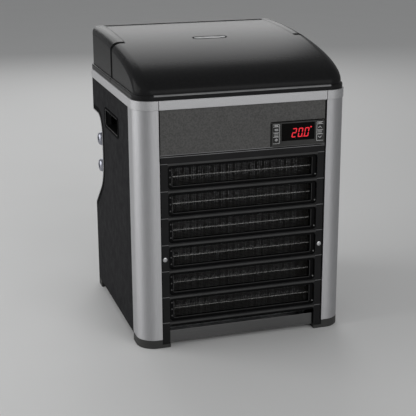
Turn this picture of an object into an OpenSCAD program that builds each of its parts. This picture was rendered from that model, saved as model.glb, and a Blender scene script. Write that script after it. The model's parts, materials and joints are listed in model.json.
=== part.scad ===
// Aquarium chiller: a cabinet with a hinged hood, a condenser grille and a digital controller.
// The front faces -Y, the origin is on the floor at the middle of the footprint.

/* [Cabinet] */
// Width over the metal trim band
cab_w = 300; // [292:1:320]
// Depth over the metal trim band
cab_d = 300; // [292:1:320]
// Height of the trim band's underside above the floor
trim_z = 333.5; // [328:0.5:345]
// Height of the trim band
trim_h = 12.5; // [10:0.5:16]
// Wall of the trim band
trim_t = 9; // [8:0.5:11]
// Outer radius of the trim band's corners
corner_r = 26; // [24:0.5:28]
// Wall of the side and rear panels
panel_t = 2.5; // [1.5:0.1:3]
// Width of a front post, seen from the front
post_w = 31.3; // [28:0.1:34]
// Width of a front post, seen from the side
post_side = 41.6; // [36:0.1:48]
// Height of a corner foot's wall
foot_h = 12.3; // [10:0.1:14]

/* [Front] */
// Height of the control panel
control_h = 62; // [58:0.5:68]
// Number of openings in the grille
openings = 7; // [6:1:8]
// Height of the rails between the openings
rail_h = 4.8; // [3.5:0.1:6]
// Width of the grille's side stiles
stile_w = 10.9; // [10:0.1:12]
// Thickness of the grille's plate
grille_t = 3; // [2:0.1:4]
// Width of the controller's bezel
bezel_w = 76; // [74:0.5:78]
// Height of the controller's bezel
bezel_h = 33; // [32:0.5:36]
// Travel of the controller's keys
key_travel = 0.6; // [0.3:0.1:0.8]

/* [Hood] */
// Height of the hood above the trim band
hood_h = 62; // [56:0.5:68]
// Wall of the hood
hood_t = 2.8; // [2:0.1:3.2]
// Length of the hood's flat behind its long curve
hood_flat = 7; // [5:0.5:40]
// Radius of the hood's top side edges
hood_edge_r = 12; // [9:0.5:15]
// Width of the open seam beside the lid
seam_w = 2; // [1:0.1:3]

/* [Refrigeration] */
// Outer radius of the heat exchanger's canister
canister_r = 46; // [40:0.5:50]
// Radius of the evaporator coil inside it
coil_r = 30; // [24:0.5:33]
// Spacing of the condenser's fins
fin_pitch = 4; // [3:0.5:8]
// Outer radius of the condenser's tube
tube_r = 4.8; // [4:0.1:5]

/* [Hidden] */

$fn = 48;
fine_fn = 96;
cut = 1;
gap = 0.3;

// Cabinet planes: the body stands inside the trim band by a small step
half_w = cab_w / 2;
half_d = cab_d / 2;
body_step = 1;
body_w = cab_w - 2 * body_step;
body_d = cab_d - 2 * body_step;
body_x = body_w / 2;
body_y = body_d / 2;
body_r = corner_r - body_step;
post_t = 3;
post_flange_t = 2.5;
post_flange_reach = 10.2;
post_web_t = 2;
post_edge = body_x - post_w;
post_back = post_side - body_y;
side_z = 10.4;
foot_pad_h = 5;
foot_wall = 3.4;
foot_tongue = 11.7;
front_step = 1.8;
front_y = front_step - body_y;
panel_in = body_y - panel_t;

// Base pan
pan_t = 1.5;
pan_gap = 4;
pan_top = foot_pad_h + pan_t;
pan_lip = 15;
pan_front_lip = 15.9;
pan_front_half = post_edge - foot_tongue - 2 * gap;
pan_front_gap = 1.2;
pan_front_y = front_y + grille_t + pan_front_gap;

// Front panels
front_edge_gap = 0.4;
front_half = post_edge - front_edge_gap;
control_z = trim_z - control_h;
control_t = 2.5;
grille_z = foot_pad_h;
grille_h = control_z - gap - grille_z;
band_h = 13.5;
opening_r = 5;
first_top = control_z - band_h;
last_top = 33;
pitch = (first_top - last_top) / (openings - 1);
opening_h = pitch - rail_h;
opening_w = 2 * (front_half - stile_w);
grille_screw_x = front_half - stile_w / 2;
grille_screw_z = 127.8;
grille_screw_r = 1.5;
grille_head_r = 3.2;
grille_head_top_r = 2.2;
grille_head_h = 1.6;
grille_head_seat = 1;
grille_screw_len = 12;
thread_gap = 0.1;

// Filter frame and net behind the grille
frame_gap = 1.5;
frame_half = post_edge - post_flange_reach - frame_gap;
frame_side = 6.5;
frame_border = 4;
frame_over = 5;
frame_t = 4.5;
frame_y = front_y + grille_t + gap;
window_w = 2 * (frame_half - frame_side);
window_h = opening_h - 2 * frame_border;
window_r = 3;
net_t = 0.6;
net_y = frame_y + frame_t;
net_wire = 0.9;
net_cols = 24;
net_rows = 2;

// Controller, in the face of the control panel
bezel_side_gap = 2.9;
bezel_low_gap = 1.5;
bezel_x = front_half - bezel_side_gap - bezel_w / 2;
bezel_z = control_z + bezel_low_gap + bezel_h / 2;
bezel_t = 2.2;
bezel_r = 3;
bezel_y = front_y - bezel_t;
glass_border = 4.75;
glass_h = bezel_h - 2 * glass_border;
glass_t = 1.4;
glass_gap = 0.15;
case_side = 2.5;
case_w = bezel_w - 2 * case_side;
case_h = bezel_h - 2 * case_side;
case_len = 58;
case_r = 1.5;
key_w = 7;
key_h = 6;
key_r = 1.5;
key_t = 2;
key_proud = 0.4;
key_inset = 2.9;
key_x = (bezel_w - key_w) / 2 - key_inset;
key_z = 7;
key_glass_gap = 4.2;
glass_w = 2 * (key_x - key_w / 2 - key_glass_gap);
case_y = bezel_y - key_proud + key_t + key_travel + gap;

// Grip cups in the side panels
cup_w = 84;
cup_h = 26;
cup_r = 5;
cup_side_border = 12;
cup_border = 4;
cup_mouth_w = cup_w - 2 * cup_side_border;
cup_mouth_h = cup_h - 2 * cup_border;
cup_mouth_r = 3;
cup_bevel = 6;
cup_depth = 24;
cup_wall = 2;
cup_flange = 4;
cup_flange_t = 1.5;
cup_rim = 1;
cup_y = -3;
cup_drop = 44;
cup_z = trim_z - cup_drop;

// Recess for the hose connectors, an open notch in the rear left corner
recess_depth = post_w;
recess_t = 2;
recess_top_r = 27.5;
recess_low_r = 55;
recess_reach = 87;
recess_top_drop = 49;
recess_low_drop = 118.5;
recess_front = half_d - recess_reach;
recess_top = trim_z - recess_top_drop;
recess_low_z = trim_z - recess_low_drop;
recess_turn = 50;
recess_x = -body_x + recess_depth;
recess_lip = 5;
recess_lip_t = 1.5;
arc_steps = 10;

// Connectors
connector_inset = 50;
connector_depth = 90.5;
connector_y = half_d - connector_inset;
connector_z = trim_z - connector_depth;
connector_drop = 41.5;
connector_r = 8;
connector_boss = 7;
connector_tail_r = 6;
connector_bore_r = 4.2;
connector_flange_r = 15;
connector_flange_t = 3;
connector_tip_gap = 1.5;
nut_r = 13.4;
nut_dome_r = 10.4;
nut_tip_r = 8.9;
nut_len = 25;
nut_dome = 10;
nut_nose = 15.5;
nut_collar_rise = 1.5;
nut_steps = 6;
nut_ribs = 12;
nut_rib_r = 0.8;

// Hood and lid
hood_step = 4;
hood_z = trim_z + trim_h;
hood_x = half_w - hood_step;
hood_front = hood_step - half_d;
hood_rear_step = 3;
hood_rear = half_d - hood_rear_step;
hood_top = hood_z + hood_h;
hood_wall_h = 9;
hood_corner_r = corner_r - hood_step;
hood_rear_r = 6;
hood_curve = hood_rear - hood_rear_r - hood_flat - hood_front;
hood_steps = 10;
hood_turns = 5;
hood_rear_steps = 4;
edge_share = 0.8;
lip_h = 7;
lip_out = 2.4;
arm_w = 19.7;
arm_gap = 0.6;
seam_y = 0;
hinge_drop = 1.9;
hinge_set = 4.9;
hinge_y = hood_rear - hood_rear_r - hinge_set;
hinge_z = hood_top - hinge_drop;
slot_front_gap = 2.2;
slot_rear_gap = 2;
slot_front = hinge_y - slot_front_gap;
slot_rear = hinge_y + slot_rear_gap;
barrel_r = 1.6;
pin_r = 0.8;
pin_fit = 0.06;
leaf_t = 1.2;
leaf_w = 20;
frame_leaf_w = 2;
leaf_inset = 5.7;
leaf_len = 2 * (hood_x - arm_w - arm_gap - leaf_inset);
knuckles = 9;
knuckle_gap = 0.5;
leaf_back = 0.6;
lid_lift = 0.3;
badge_w = 46.5;
badge_h = 9;
badge_t = 0.8;
badge_place_share = 0.519;
badge_y = hood_front + (hood_rear - hood_front) * badge_place_share;

// Deck under the hood
deck_t = 1.5;
deck_z = trim_z - deck_t;
deck_gap = 0.3;
deck_hole_gap = 2;
post_top_gap = 0.5;
post_top = deck_z - post_top_gap;

// Heat exchanger canister
canister_side_gap = 12;
canister_rear_gap = 14;
canister_x = recess_x + canister_side_gap + canister_r;
canister_y = body_y - canister_r - canister_rear_gap;
canister_t = 4;
canister_cap_h = 13;
canister_cap_over = 4;
cap_top_gap = 2;
canister_cap_z = deck_z - canister_cap_h - cap_top_gap;
canister_stub = 6;
port_reach = sqrt(pow(canister_r, 2) - pow(coil_r, 2)) + canister_stub;
port_t = 2.5;
cap_grips = 16;
cap_grip_r = 2;
cap_plug = 8;
seal_r = 1.4;
seal_fit = 0.1;
seal_ring = canister_r - canister_t - seal_r;
coil_tube_r = 4;
coil_turns = 8;
coil_rings = 24;
coil_sides = 6;
coil_steps = (coil_turns - 1 / 4) * coil_rings;
coil_rise = 30;
coil_z = pan_top + canister_t + coil_rise;

// Electrics box and mains inlet
rear_edge_gap = 0.3;
rear_half = post_edge - rear_edge_gap;
box_left_gap = 29.7;
box_side_gap = 25;
box_top_gap = 12;
box_left = canister_x + canister_r + canister_cap_over + box_left_gap;
box_right = body_x - box_side_gap;
box_d = 46;
box_h = 96;
box_top = deck_z - box_top_gap;
box_cover = 1;
box_cover_t = 3;
gland_r = 6;
gland_len = 9;
inlet_w = 28;
inlet_h = 20;
inlet_d = 18;
inlet_flange_w = 50;
inlet_flange_h = 24;
inlet_flange_r = 4;
inlet_flange_t = 0.9;
inlet_t = 1.8;
inlet_inset = 41.4;
inlet_drop = 32;
inlet_x = rear_half - inlet_inset;
inlet_z = box_top - box_h - inlet_drop;
prong_h = 4;
prong_len = 9;
prong_t = 2;
prong_x = 7;
prong_step = 2;
compressor_top_gap = 25;

// Compressor
compressor_side_gap = 27;
compressor_rear_gap = 12;
compressor_room_share = 0.3;
compressor_r = (body_x - canister_x - canister_r) * compressor_room_share;
compressor_x = body_x - compressor_r - compressor_side_gap;
compressor_y = body_y - compressor_r - compressor_rear_gap;
compressor_foot_z = 15;
compressor_plate_t = 2;
compressor_dome = 18;
compressor_plate_over = 10;
compressor_plate_r = compressor_r + compressor_plate_over;
compressor_seam = 2;
plate_sides = 6;
compressor_h = inlet_z - inlet_h / 2 - compressor_top_gap - compressor_foot_z - compressor_plate_t;
grommet_r = 8;
grommet_bolt_r = 3;
grommet_inset = 6.5;
grommet_ring = compressor_plate_r - grommet_inset;
stub_r = 5;
stub_h = 6;
stub_z = compressor_foot_z + compressor_plate_t + compressor_h + stub_h;
suction_rise = 37;
suction_z = stub_z + suction_rise;

// Condenser and fan
fin_setback = 29;
fin_side_gap = 17;
fin_y = front_y + fin_setback;
fin_d = 20;
fin_t = 0.4;
fin_half = front_half - fin_side_gap;
tube_setback = 7;
tube_y = fin_y + tube_setback;
tube_drop = 7.5;
tube_fit = 0.2;
tube_rows = openings - 1;
end_plate_gap = 2;
end_plate_x = fin_half + end_plate_gap;
end_plate_t = 1;
bend_gap = 4;
bend_x = end_plate_x + bend_gap;
tube_tail = 6;
tube_end = bend_x + tube_tail;
fin_over = 3;
fin_under = 7;
fin_top = first_top + fin_over;
fin_low = last_top - fin_under;
shroud_t = 1.2;
shroud_y = fin_y + fin_d + gap;
shroud_side = 12;
shroud_half = end_plate_x + shroud_side;
fan_margin = 26.3;
fan_r = min(shroud_half, (fin_top - fin_low) / 2) - fan_margin;
fan_z = (fin_top + fin_low) / 2;
fan_hole_gap = 5;
fan_setback = 9;
fan_front = shroud_y + fan_setback;
hub_r = 24;
hub_h = 22;
blades = 5;
blade_t = 1.6;
blade_pitch = 24;
blade_chord = 58;
blade_sweep = 16;
motor_r = 36;
motor_band = 2;
motor_len = 44;
motor_gap = 3;
motor_y = fan_front + hub_h + motor_gap;
shaft_r = 4;
shaft_fit = 0.1;
shaft_in = 12;
strap_w = 30;
strap_t = 2;
strap_inset = 14.3;
strap_half = shroud_half - strap_inset;
strap_y = motor_y + motor_len;

// Pipes
pipe_r = 3.5;
capillary_r = 1.3;
bend_r = 9;
discharge_inset = 12;
discharge_rise = 18;
discharge_x = body_x - discharge_inset;
discharge_z = stub_z + discharge_rise;
liquid_inset = 23;
liquid_x = body_x - liquid_inset;
capillary_rise = 40;
drier_r = 9;
drier_neck_r = 4.5;
drier_gap = 6.9;
drier_y = strap_y + strap_t + drier_gap;
drier_z = 66;
drier_h = 66;
drier_cone = 8;
capillary_z = drier_z + drier_h + capillary_rise;

// Rear panel
louvre_cols = 3;
louvre_margin = 21.4;
louvre_gap = 6;
louvre_w = (2 * (rear_half - louvre_margin) - (louvre_cols - 1) * louvre_gap) / louvre_cols;
louvre_h = 2.6;
louvre_pitch = 8;
louvre_low = 40;
louvre_clear = 28;
louvre_rows = floor((inlet_z - inlet_h / 2 - louvre_clear - louvre_low) / louvre_pitch);
rear_low = 8;
rear_screw_r = 3;
rear_screw_h = 0.8;
rear_shank_r = 1;
rear_screw_len = 8;
rear_screw_in = 6;

// Rounded rectangle about the origin
module rounded(w, d, r) {
    square([w - 2 * r, d], center = true);
    square([w, d - 2 * r], center = true);
    for (x = [r - w / 2, w / 2 - r], y = [r - d / 2, d / 2 - r])
        translate([x, y]) circle(r);
}

// Rounded band of wall t
module band(w, d, r, t) {
    difference() {
        rounded(w, d, r);
        rounded(w - 2 * t, d - 2 * t, r - t);
    }
}

// Plate in the XZ plane, from y to y + t
module plate_xz(y, t) {
    translate([0, y + t, 0]) rotate([90, 0, 0]) linear_extrude(t) children();
}

// Plate in the YZ plane, from x to x + t
module plate_yz(x, t) {
    translate([x, 0, 0]) rotate([90, 0, 90]) linear_extrude(t) children();
}

// Box between two corners
module block(low, high) {
    translate(low) cube(high - low);
}

// Band of the cabinet's outline, kept between two corners
module corner_band(w, d, r, t, low, high) {
    intersection() {
        translate([0, 0, low[2]]) linear_extrude(high[2] - low[2]) band(w, d, r, t);
        block(low, high);
    }
}

// Points of an arc about c
function arc(c, r, a0, a1, n) = [for (i = [0 : n]) let (a = a0 + (a1 - a0) * i / n)
    [c[0] + r * cos(a), c[1] + r * sin(a)]];

// One straight pipe from a to b
module rod(a, b, r) {
    v = b - a;
    len = norm(v);
    translate(a) rotate([0, acos(v[2] / len), atan2(v[1], v[0])]) cylinder(r = r, h = len);
}

// Quarter bend at the corner p, from direction u to direction v
module bend(p, u, v, r, turn) {
    c = p + turn * (v - u);
    w = cross(-v, u);
    multmatrix([[-v[0], u[0], w[0], c[0]], [-v[1], u[1], w[1], c[1]], [-v[2], u[2], w[2], c[2]]])
        rotate_extrude(angle = 90) translate([turn, 0]) circle(r);
}

// Pipe through corners that lie along the axes, with a round bend at each
module pipe(route, r, turn) {
    last = len(route) - 1;
    for (i = [0 : last - 1]) {
        v = (route[i + 1] - route[i]) / norm(route[i + 1] - route[i]);
        rod(route[i] + (i > 0 ? turn : 0) * v, route[i + 1] - (i < last - 1 ? turn : 0) * v, r);
        if (i < last - 1)
            bend(route[i + 1], v, (route[i + 2] - route[i + 1]) / norm(route[i + 2] - route[i + 1]), r, turn);
    }
}

// Folded steel tray on the four feet, with its lip in sight under the grille
module base_pan() {
    pan_x = body_x - pan_gap;
    color("dimgray") {
        intersection() {
            translate([0, 0, foot_pad_h]) linear_extrude(pan_t)
                rounded(body_w - 2 * pan_gap, body_d - 2 * pan_gap, body_r - pan_gap);
            block([-pan_x, pan_front_y, foot_pad_h], [pan_x, body_y, pan_top]);
        }
        block([-pan_front_half, pan_front_y, foot_pad_h],
            [pan_front_half, pan_front_y + pan_t, pan_top + pan_front_lip]);
        for (s = [-1, 1])
            translate([s * (pan_x - pan_t / 2), 0, foot_pad_h + pan_lip / 2])
                cube([pan_t, body_d - 2 * post_side, pan_lip], center = true);
        block([-rear_half, body_y - pan_gap - pan_t, foot_pad_h],
            [rear_half, body_y - pan_gap, foot_pad_h + pan_lip]);
    }
}

// Corner foot: a pad under the base pan and a wall under the post or the panel
module foot(sx, sy, wall_h) {
    reach_x = post_w + (sy < 0 ? foot_tongue : 0);
    color([0.16, 0.16, 0.17]) mirror([sx > 0 ? 1 : 0, 0, 0]) mirror([0, sy > 0 ? 1 : 0, 0]) {
        intersection() {
            linear_extrude(foot_pad_h) rounded(body_w, body_d, body_r);
            block([-body_x, -body_y, 0], [reach_x - body_x, post_side - body_y, foot_pad_h]);
        }
        corner_band(body_w, body_d, body_r, foot_wall, [-body_x, -body_y, foot_pad_h / 2],
            [post_w - body_x, post_side - body_y, wall_h]);
    }
}

module foot_front_left() foot(-1, -1, foot_h);
module foot_front_right() foot(1, -1, foot_h);
module foot_rear_left() foot(-1, 1, side_z);
module foot_rear_right() foot(1, 1, side_z);

// Front corner post: one metal extrusion with a flange that carries the grille
module post(s) {
    flange_y = front_y + grille_t + gap;
    flange_edge = post_edge - post_flange_reach;
    // The flange ends in the middle of the rounded corner's wall
    turn_x = body_x - body_r;
    flange_x = turn_x + sqrt(pow(body_r - post_t / 2, 2) - pow(flange_y + body_y - body_r, 2));
    color("silver") mirror([s > 0 ? 1 : 0, 0, 0]) difference() {
        union() {
            corner_band(body_w, body_d, body_r, post_t, [-body_x, -body_y, foot_h],
                [-post_edge, post_back, trim_z]);
            block([-flange_x, flange_y, foot_h], [-flange_edge, flange_y + post_flange_t, post_top]);
            block([-post_edge - 2 * post_web_t, post_t / 2 - body_y, foot_h],
                [-post_edge - post_web_t, flange_y + post_flange_t, post_top]);
        }
        block([-post_edge - gap, -body_y, control_z - band_h / 2],
            [-flange_edge + cut, flange_y + post_flange_t + cut, trim_z]);
        translate([-grille_screw_x, flange_y - cut, grille_screw_z]) rotate([-90, 0, 0])
            cylinder(r = grille_screw_r + thread_gap, h = post_flange_t + 2 * cut);
    }
}

module post_front_left() post(-1);
module post_front_right() post(1);

// Side panel, bent round the rear corner, with a cut-out for the grip cup
module side_panel(s) {
    mirror([s > 0 ? 1 : 0, 0, 0]) difference() {
        corner_band(body_w, body_d, body_r, panel_t, [-body_x, post_back + gap, side_z],
            [-rear_half - gap, body_y, trim_z]);
        plate_yz(-body_x - cut, panel_t + 2 * cut) translate([cup_y, cup_z])
            rounded(cup_w + 2 * gap, cup_h + 2 * gap, cup_r + gap);
    }
}

// Outline of the notch for the connectors, grown by g
module recess_outline(g) {
    top = [recess_front + recess_top_r, recess_top - recess_top_r];
    low = [recess_front + recess_low_r, recess_low_z];
    far = body_y + panel_t + cut;
    foot_y = low[0] - (recess_low_r + g) * cos(recess_turn);
    foot_z = low[1] - (recess_low_r + g) * sin(recess_turn);
    polygon(concat([[far, recess_top + g]], arc(top, recess_top_r + g, 90, 180, arc_steps),
        arc(low, recess_low_r + g, 180, 180 + recess_turn, arc_steps),
        [[far, foot_z - (far - foot_y) / tan(recess_turn)]]));
}

module left_panel() {
    color([0.22, 0.22, 0.23]) difference() {
        side_panel(-1);
        plate_yz(-body_x - cut, recess_depth + 2 * cut) recess_outline(recess_t + gap);
    }
}

module right_panel() color([0.22, 0.22, 0.23]) side_panel(1);

// Rear panel with columns of air slots and the cut-out for the mains inlet
module rear_panel() {
    color([0.22, 0.22, 0.23]) difference() {
        plate_xz(panel_in, panel_t) difference() {
            translate([-rear_half, rear_low]) square([2 * rear_half, trim_z - rear_low]);
            for (c = [0 : louvre_cols - 1], i = [0 : louvre_rows - 1])
                translate([louvre_margin - rear_half + c * (louvre_w + louvre_gap),
                    louvre_low + i * louvre_pitch]) square([louvre_w, louvre_h]);
            translate([inlet_x, inlet_z]) square([inlet_w + 2 * gap, inlet_h + 2 * gap], center = true);
        }
        rear_screw_places() cylinder(r = rear_shank_r + thread_gap, h = panel_t + 2 * cut);
    }
}

// Screw places on the rear panel, with their axis pointing inwards
module rear_screw_places() {
    for (x = [-1, 1], z = [rear_low + 3 * rear_screw_in, trim_z / 2, trim_z - 2 * rear_screw_in])
        translate([x * (rear_half - rear_screw_in), body_y + cut, z]) rotate([90, 0, 0]) children();
}

module rear_screws() {
    color("gray") rear_screw_places() {
        translate([0, 0, cut - rear_screw_h]) cylinder(r = rear_screw_r, h = rear_screw_h);
        cylinder(r = rear_shank_r, h = rear_screw_len);
    }
}

// Trim band: the front and rear rails, and a bent rail round each side
module trim(low, high) {
    color([0.78, 0.79, 0.80]) corner_band(cab_w, cab_d, corner_r, trim_t, low, high);
}

module trim_front() trim([-post_edge, -half_d, trim_z], [post_edge, 0, hood_z]);
module trim_rear() trim([-post_edge, 0, trim_z], [post_edge, half_d, hood_z]);
module trim_left() trim([-half_w, -half_d, trim_z], [-post_edge - gap, half_d, hood_z]);
module trim_right() trim([post_edge + gap, -half_d, trim_z], [half_w, half_d, hood_z]);

// Upper front panel with the cut-out for the controller
module control_panel() {
    color([0.25, 0.25, 0.26]) plate_xz(front_y, control_t) difference() {
        translate([-front_half, control_z]) square([2 * front_half, control_h]);
        translate([bezel_x, bezel_z]) rounded(case_w + 2 * gap, case_h + 2 * gap, case_r);
    }
}

// Moulded grille with a column of wide rounded openings; the last one is open below
module front_grille() {
    color([0.05, 0.05, 0.05]) difference() {
        plate_xz(front_y, grille_t) difference() {
            translate([-front_half, grille_z]) square([2 * front_half, grille_h]);
            for (i = [0 : openings - 1])
                translate([0, first_top - i * pitch - opening_h / 2])
                    rounded(opening_w, opening_h, opening_r);
            translate([-opening_w / 2, -cut]) square([opening_w, last_top - opening_h / 2]);
        }
        for (s = [-1, 1]) translate([s * grille_screw_x, front_y - cut, grille_screw_z]) rotate([-90, 0, 0]) {
            cylinder(r = grille_screw_r + gap, h = grille_t + 2 * cut);
            cylinder(r = grille_head_r + gap, h = grille_head_seat + cut);
        }
    }
}

module grille_screws() {
    color("gray") for (s = [-1, 1])
        translate([s * grille_screw_x, front_y + grille_head_seat, grille_screw_z]) rotate([-90, 0, 0]) {
            translate([0, 0, -grille_head_h])
                cylinder(r1 = grille_head_top_r, r2 = grille_head_r, h = grille_head_h);
            cylinder(r = grille_screw_r, h = grille_screw_len);
        }
}

// Rows of windows behind the grille's upper openings
module filter_windows() {
    for (i = [0 : openings - 2]) translate([0, first_top - i * pitch - opening_h / 2]) children();
}

module filter_outline() {
    translate([-frame_half, last_top - rail_h])
        square([2 * frame_half, first_top - last_top + rail_h + frame_over]);
}

module filter_frame() {
    color([0.12, 0.12, 0.13]) plate_xz(frame_y, frame_t) difference() {
        filter_outline();
        filter_windows() rounded(window_w, window_h, window_r);
    }
}

// Flat net, one sheet with its meshes in the windows
module filter_net() {
    cell_w = window_w / net_cols;
    cell_h = window_h / net_rows;
    color([0.08, 0.08, 0.08]) plate_xz(net_y, net_t) difference() {
        filter_outline();
        filter_windows() for (i = [0 : net_cols - 1], j = [0 : net_rows - 1])
            translate([(i + 0.5) * cell_w - window_w / 2, (j + 0.5) * cell_h - window_h / 2])
                square([cell_w - net_wire, cell_h - net_wire], center = true);
    }
}

// Outline of a key, grown by g
module key_shape(g) {
    rounded(key_w + 2 * g, key_h + 2 * g, key_r + g);
}

module controller_bezel() {
    color([0.03, 0.03, 0.03]) plate_xz(bezel_y, bezel_t) translate([bezel_x, bezel_z]) difference() {
        rounded(bezel_w, bezel_h, bezel_r);
        square([glass_w + 2 * glass_gap, glass_h + 2 * glass_gap], center = true);
        for (x = [-key_x, key_x], z = [-key_z, key_z]) translate([x, z]) key_shape(gap);
    }
}

module controller_case() {
    color([0.08, 0.08, 0.08]) difference() {
        plate_xz(front_y, case_len) translate([bezel_x, bezel_z]) rounded(case_w, case_h, case_r);
        for (x = [-key_x, key_x], z = [-key_z, key_z])
            plate_xz(front_y - cut, case_y - front_y + cut)
                translate([bezel_x + x, bezel_z + z]) key_shape(gap);
    }
}

module display_window() {
    color([0.10, 0.02, 0.02]) plate_xz(front_y - glass_t, glass_t) translate([bezel_x, bezel_z])
        square([glass_w, glass_h], center = true);
}

module key(x, z) {
    color([0.10, 0.10, 0.10]) plate_xz(bezel_y - key_proud, key_t)
        translate([bezel_x + x, bezel_z + z]) key_shape(0);
}

module key_set() key(-key_x, key_z);
module key_standby() key(-key_x, -key_z);
module key_up() key(key_x, key_z);
module key_down() key(key_x, -key_z);

// Moulded grip cup: a bevelled frame in the panel's cut-out and a pocket behind it
module handle_cup(s) {
    back = cup_depth - cup_wall;
    color([0.10, 0.10, 0.11]) mirror([s > 0 ? 1 : 0, 0, 0]) translate([-body_x, cup_y, cup_z]) difference() {
        union() {
            plate_yz(0, cup_bevel) rounded(cup_w, cup_h, cup_r);
            plate_yz(panel_t + gap, cup_flange_t)
                rounded(cup_w + 2 * cup_flange, cup_h + 2 * cup_flange, cup_r + cup_flange);
            plate_yz(cup_bevel / 2, cup_depth - cup_bevel / 2)
                rounded(cup_mouth_w + 2 * cup_wall, cup_mouth_h + 2 * cup_wall, cup_mouth_r + cup_wall);
        }
        hull() {
            plate_yz(-cut, cut) rounded(cup_w - 2 * cup_rim, cup_h - 2 * cup_rim, cup_r - cup_rim, $fn = 32);
            plate_yz(cup_bevel - cup_rim, cup_rim) rounded(cup_mouth_w, cup_mouth_h, cup_mouth_r, $fn = 32);
        }
        plate_yz(cup_bevel - cup_rim, back - cup_bevel + cup_rim)
            rounded(cup_mouth_w, cup_mouth_h, cup_mouth_r);
    }
}

module left_handle_cup() handle_cup(-1);
module right_handle_cup() handle_cup(1);

// Moulded tub behind the notch, open to the side and to the rear
module hose_recess() {
    color([0.06, 0.06, 0.06]) difference() {
        intersection() {
            union() {
                plate_yz(-body_x, recess_depth) recess_outline(recess_t);
                plate_yz(panel_t + gap - body_x, recess_lip_t) recess_outline(recess_t + recess_lip);
            }
            linear_extrude(trim_z) rounded(body_w, body_d, body_r);
            block([-body_x, 0, 0], [recess_x, body_y, trim_z]);
        }
        plate_yz(-body_x - cut, recess_depth - recess_t + cut) recess_outline(0);
        difference() {
            block([-half_w, body_y - body_r - recess_t, 0], [-rear_half - gap, half_d, trim_z]);
            plate_yz(-half_w, half_w) recess_outline(recess_t);
        }
        for (i = [0, 1]) translate([recess_x - recess_t - cut, connector_y, connector_z - i * connector_drop])
            rotate([0, 90, 0]) cylinder(r = connector_r + gap, h = recess_t + 2 * cut);
    }
}

// Hose connector: a flanged tail through the tub's wall, seated on the canister's stub
module connector(i) {
    tail = canister_x - canister_r - canister_stub;
    tip = connector_tip_gap - half_w;
    floor_x = recess_x - recess_t - connector_flange_t;
    boss_x = floor_x - connector_boss;
    color([0.62, 0.64, 0.66]) translate([0, connector_y, connector_z - i * connector_drop]) rotate([0, 90, 0])
        difference() {
            union() {
                translate([0, 0, tip]) cylinder(r = connector_tail_r, h = floor_x - tip);
                translate([0, 0, boss_x]) cylinder(r = connector_r, h = tail - boss_x);
                translate([0, 0, floor_x]) cylinder(r = connector_flange_r, h = connector_flange_t);
            }
            translate([0, 0, tip - cut]) cylinder(r = connector_bore_r, h = tail - tip + 2 * cut);
        }
}

module inlet_connector() connector(0);
module outlet_connector() connector(1);

// Outline of a union nut: a domed nose with a grip collar behind it
function nut_outline() = concat([[0, 0]],
    [for (k = [0 : nut_steps]) let (b = 90 * k / nut_steps)
        [nut_tip_r + (nut_dome_r - nut_tip_r) * sin(b), nut_dome * (1 - cos(b))]],
    [[nut_dome_r, nut_nose - nut_collar_rise], [nut_r, nut_nose], [nut_r, nut_len], [0, nut_len]]);

// Domed union nuts with grip grooves, one on each connector
module union_nuts() {
    nut_x = recess_x - recess_t - connector_flange_t - gap - nut_len;
    color([0.70, 0.72, 0.74]) for (i = [0, 1])
        translate([nut_x, connector_y, connector_z - i * connector_drop]) rotate([0, 90, 0]) difference() {
            rotate_extrude() polygon(nut_outline());
            for (k = [0 : nut_ribs - 1]) rotate(k * 360 / nut_ribs)
                translate([nut_r + nut_rib_r / 2, 0, nut_nose]) cylinder(r = nut_rib_r, h = nut_len);
            translate([0, 0, -cut]) cylinder(r = connector_r + gap, h = nut_len + 2 * cut);
        }
}

// Steps along the hood's profile: front foot, curved front, rear edge, rear foot
function hood_count() = hood_steps + hood_rear_steps + 4;

// Radius of the side edge at a height share f of the hood
function side_r(f) = hood_corner_r + (hood_edge_r - hood_corner_r) * f;

// Profile point k where the side edge has turned by a, set in by t: [y, z, radius of the side edge]
function hood_profile(k, a, t) =
    let (f = 1 - cos(a), dy = t + (hood_corner_r - t) * f, dz = t + (hood_edge_r - t) * f,
        h = hood_h - hood_wall_h, r = (hood_rear_r - t) * (1 - edge_share * f), last = hood_count() - 1,
        front = hood_front + dy, rear = hood_rear - dy)
    k == 0 ? [front, hood_z, hood_corner_r] :
    k == last ? [rear, hood_z, hood_corner_r] :
    k <= hood_steps + 1 ?
        let (b = 90 * (k - 1) / hood_steps)
        [front + (rear - r - hood_flat - front) * (1 - cos(b)), hood_z + hood_wall_h + (h - dz) * sin(b),
            side_r(sin(b))] :
        let (b = 90 - 90 * (k - hood_steps - 2) / hood_rear_steps)
        [rear - r + r * cos(b), hood_top - dz - r + r * sin(b), side_r(sin(b))];

// Point of the hood on side s
function hood_point(k, s, a, t) = let (p = hood_profile(k, a, t))
    [s * (hood_x - p[2] + (p[2] - t) * sin(a)), p[0], p[1]];

// Height and slope of the hood's curve at y, on its middle line
function crown_turn(y) = acos((hood_front + hood_curve - y) / hood_curve);
function crown_z(y) = hood_z + hood_wall_h + (hood_h - hood_wall_h) * sin(crown_turn(y));
function crown_slope(y) = atan((hood_h - hood_wall_h) / (hood_curve * tan(crown_turn(y))));

// Closed hood form, set in by t and reaching down by drop
module hood_form(t, drop) {
    n = hood_count();
    sides = concat([for (j = [0 : hood_turns]) [-1, 90 - 90 * j / hood_turns]],
        [for (j = [0 : hood_turns]) [1, 90 * j / hood_turns]]);
    m = len(sides);
    points = [for (c = sides, k = [0 : n - 1])
        hood_point(k, c[0], c[1], t) - (k == 0 || k == n - 1 ? [0, 0, drop] : [0, 0, 0])];
    faces = concat([for (k = [1 : n - 2]) [0, k + 1, k]],
        [for (k = [1 : n - 2]) [(m - 1) * n, (m - 1) * n + k, (m - 1) * n + k + 1]],
        [for (j = [0 : m - 2], k = [0 : n - 1]) let (a = j * n + k, b = j * n + (k + 1) % n)
            each [[a, b + n, a + n], [a, b, b + n]]]);
    polyhedron(points, faces, convexity = 4);
}

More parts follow.
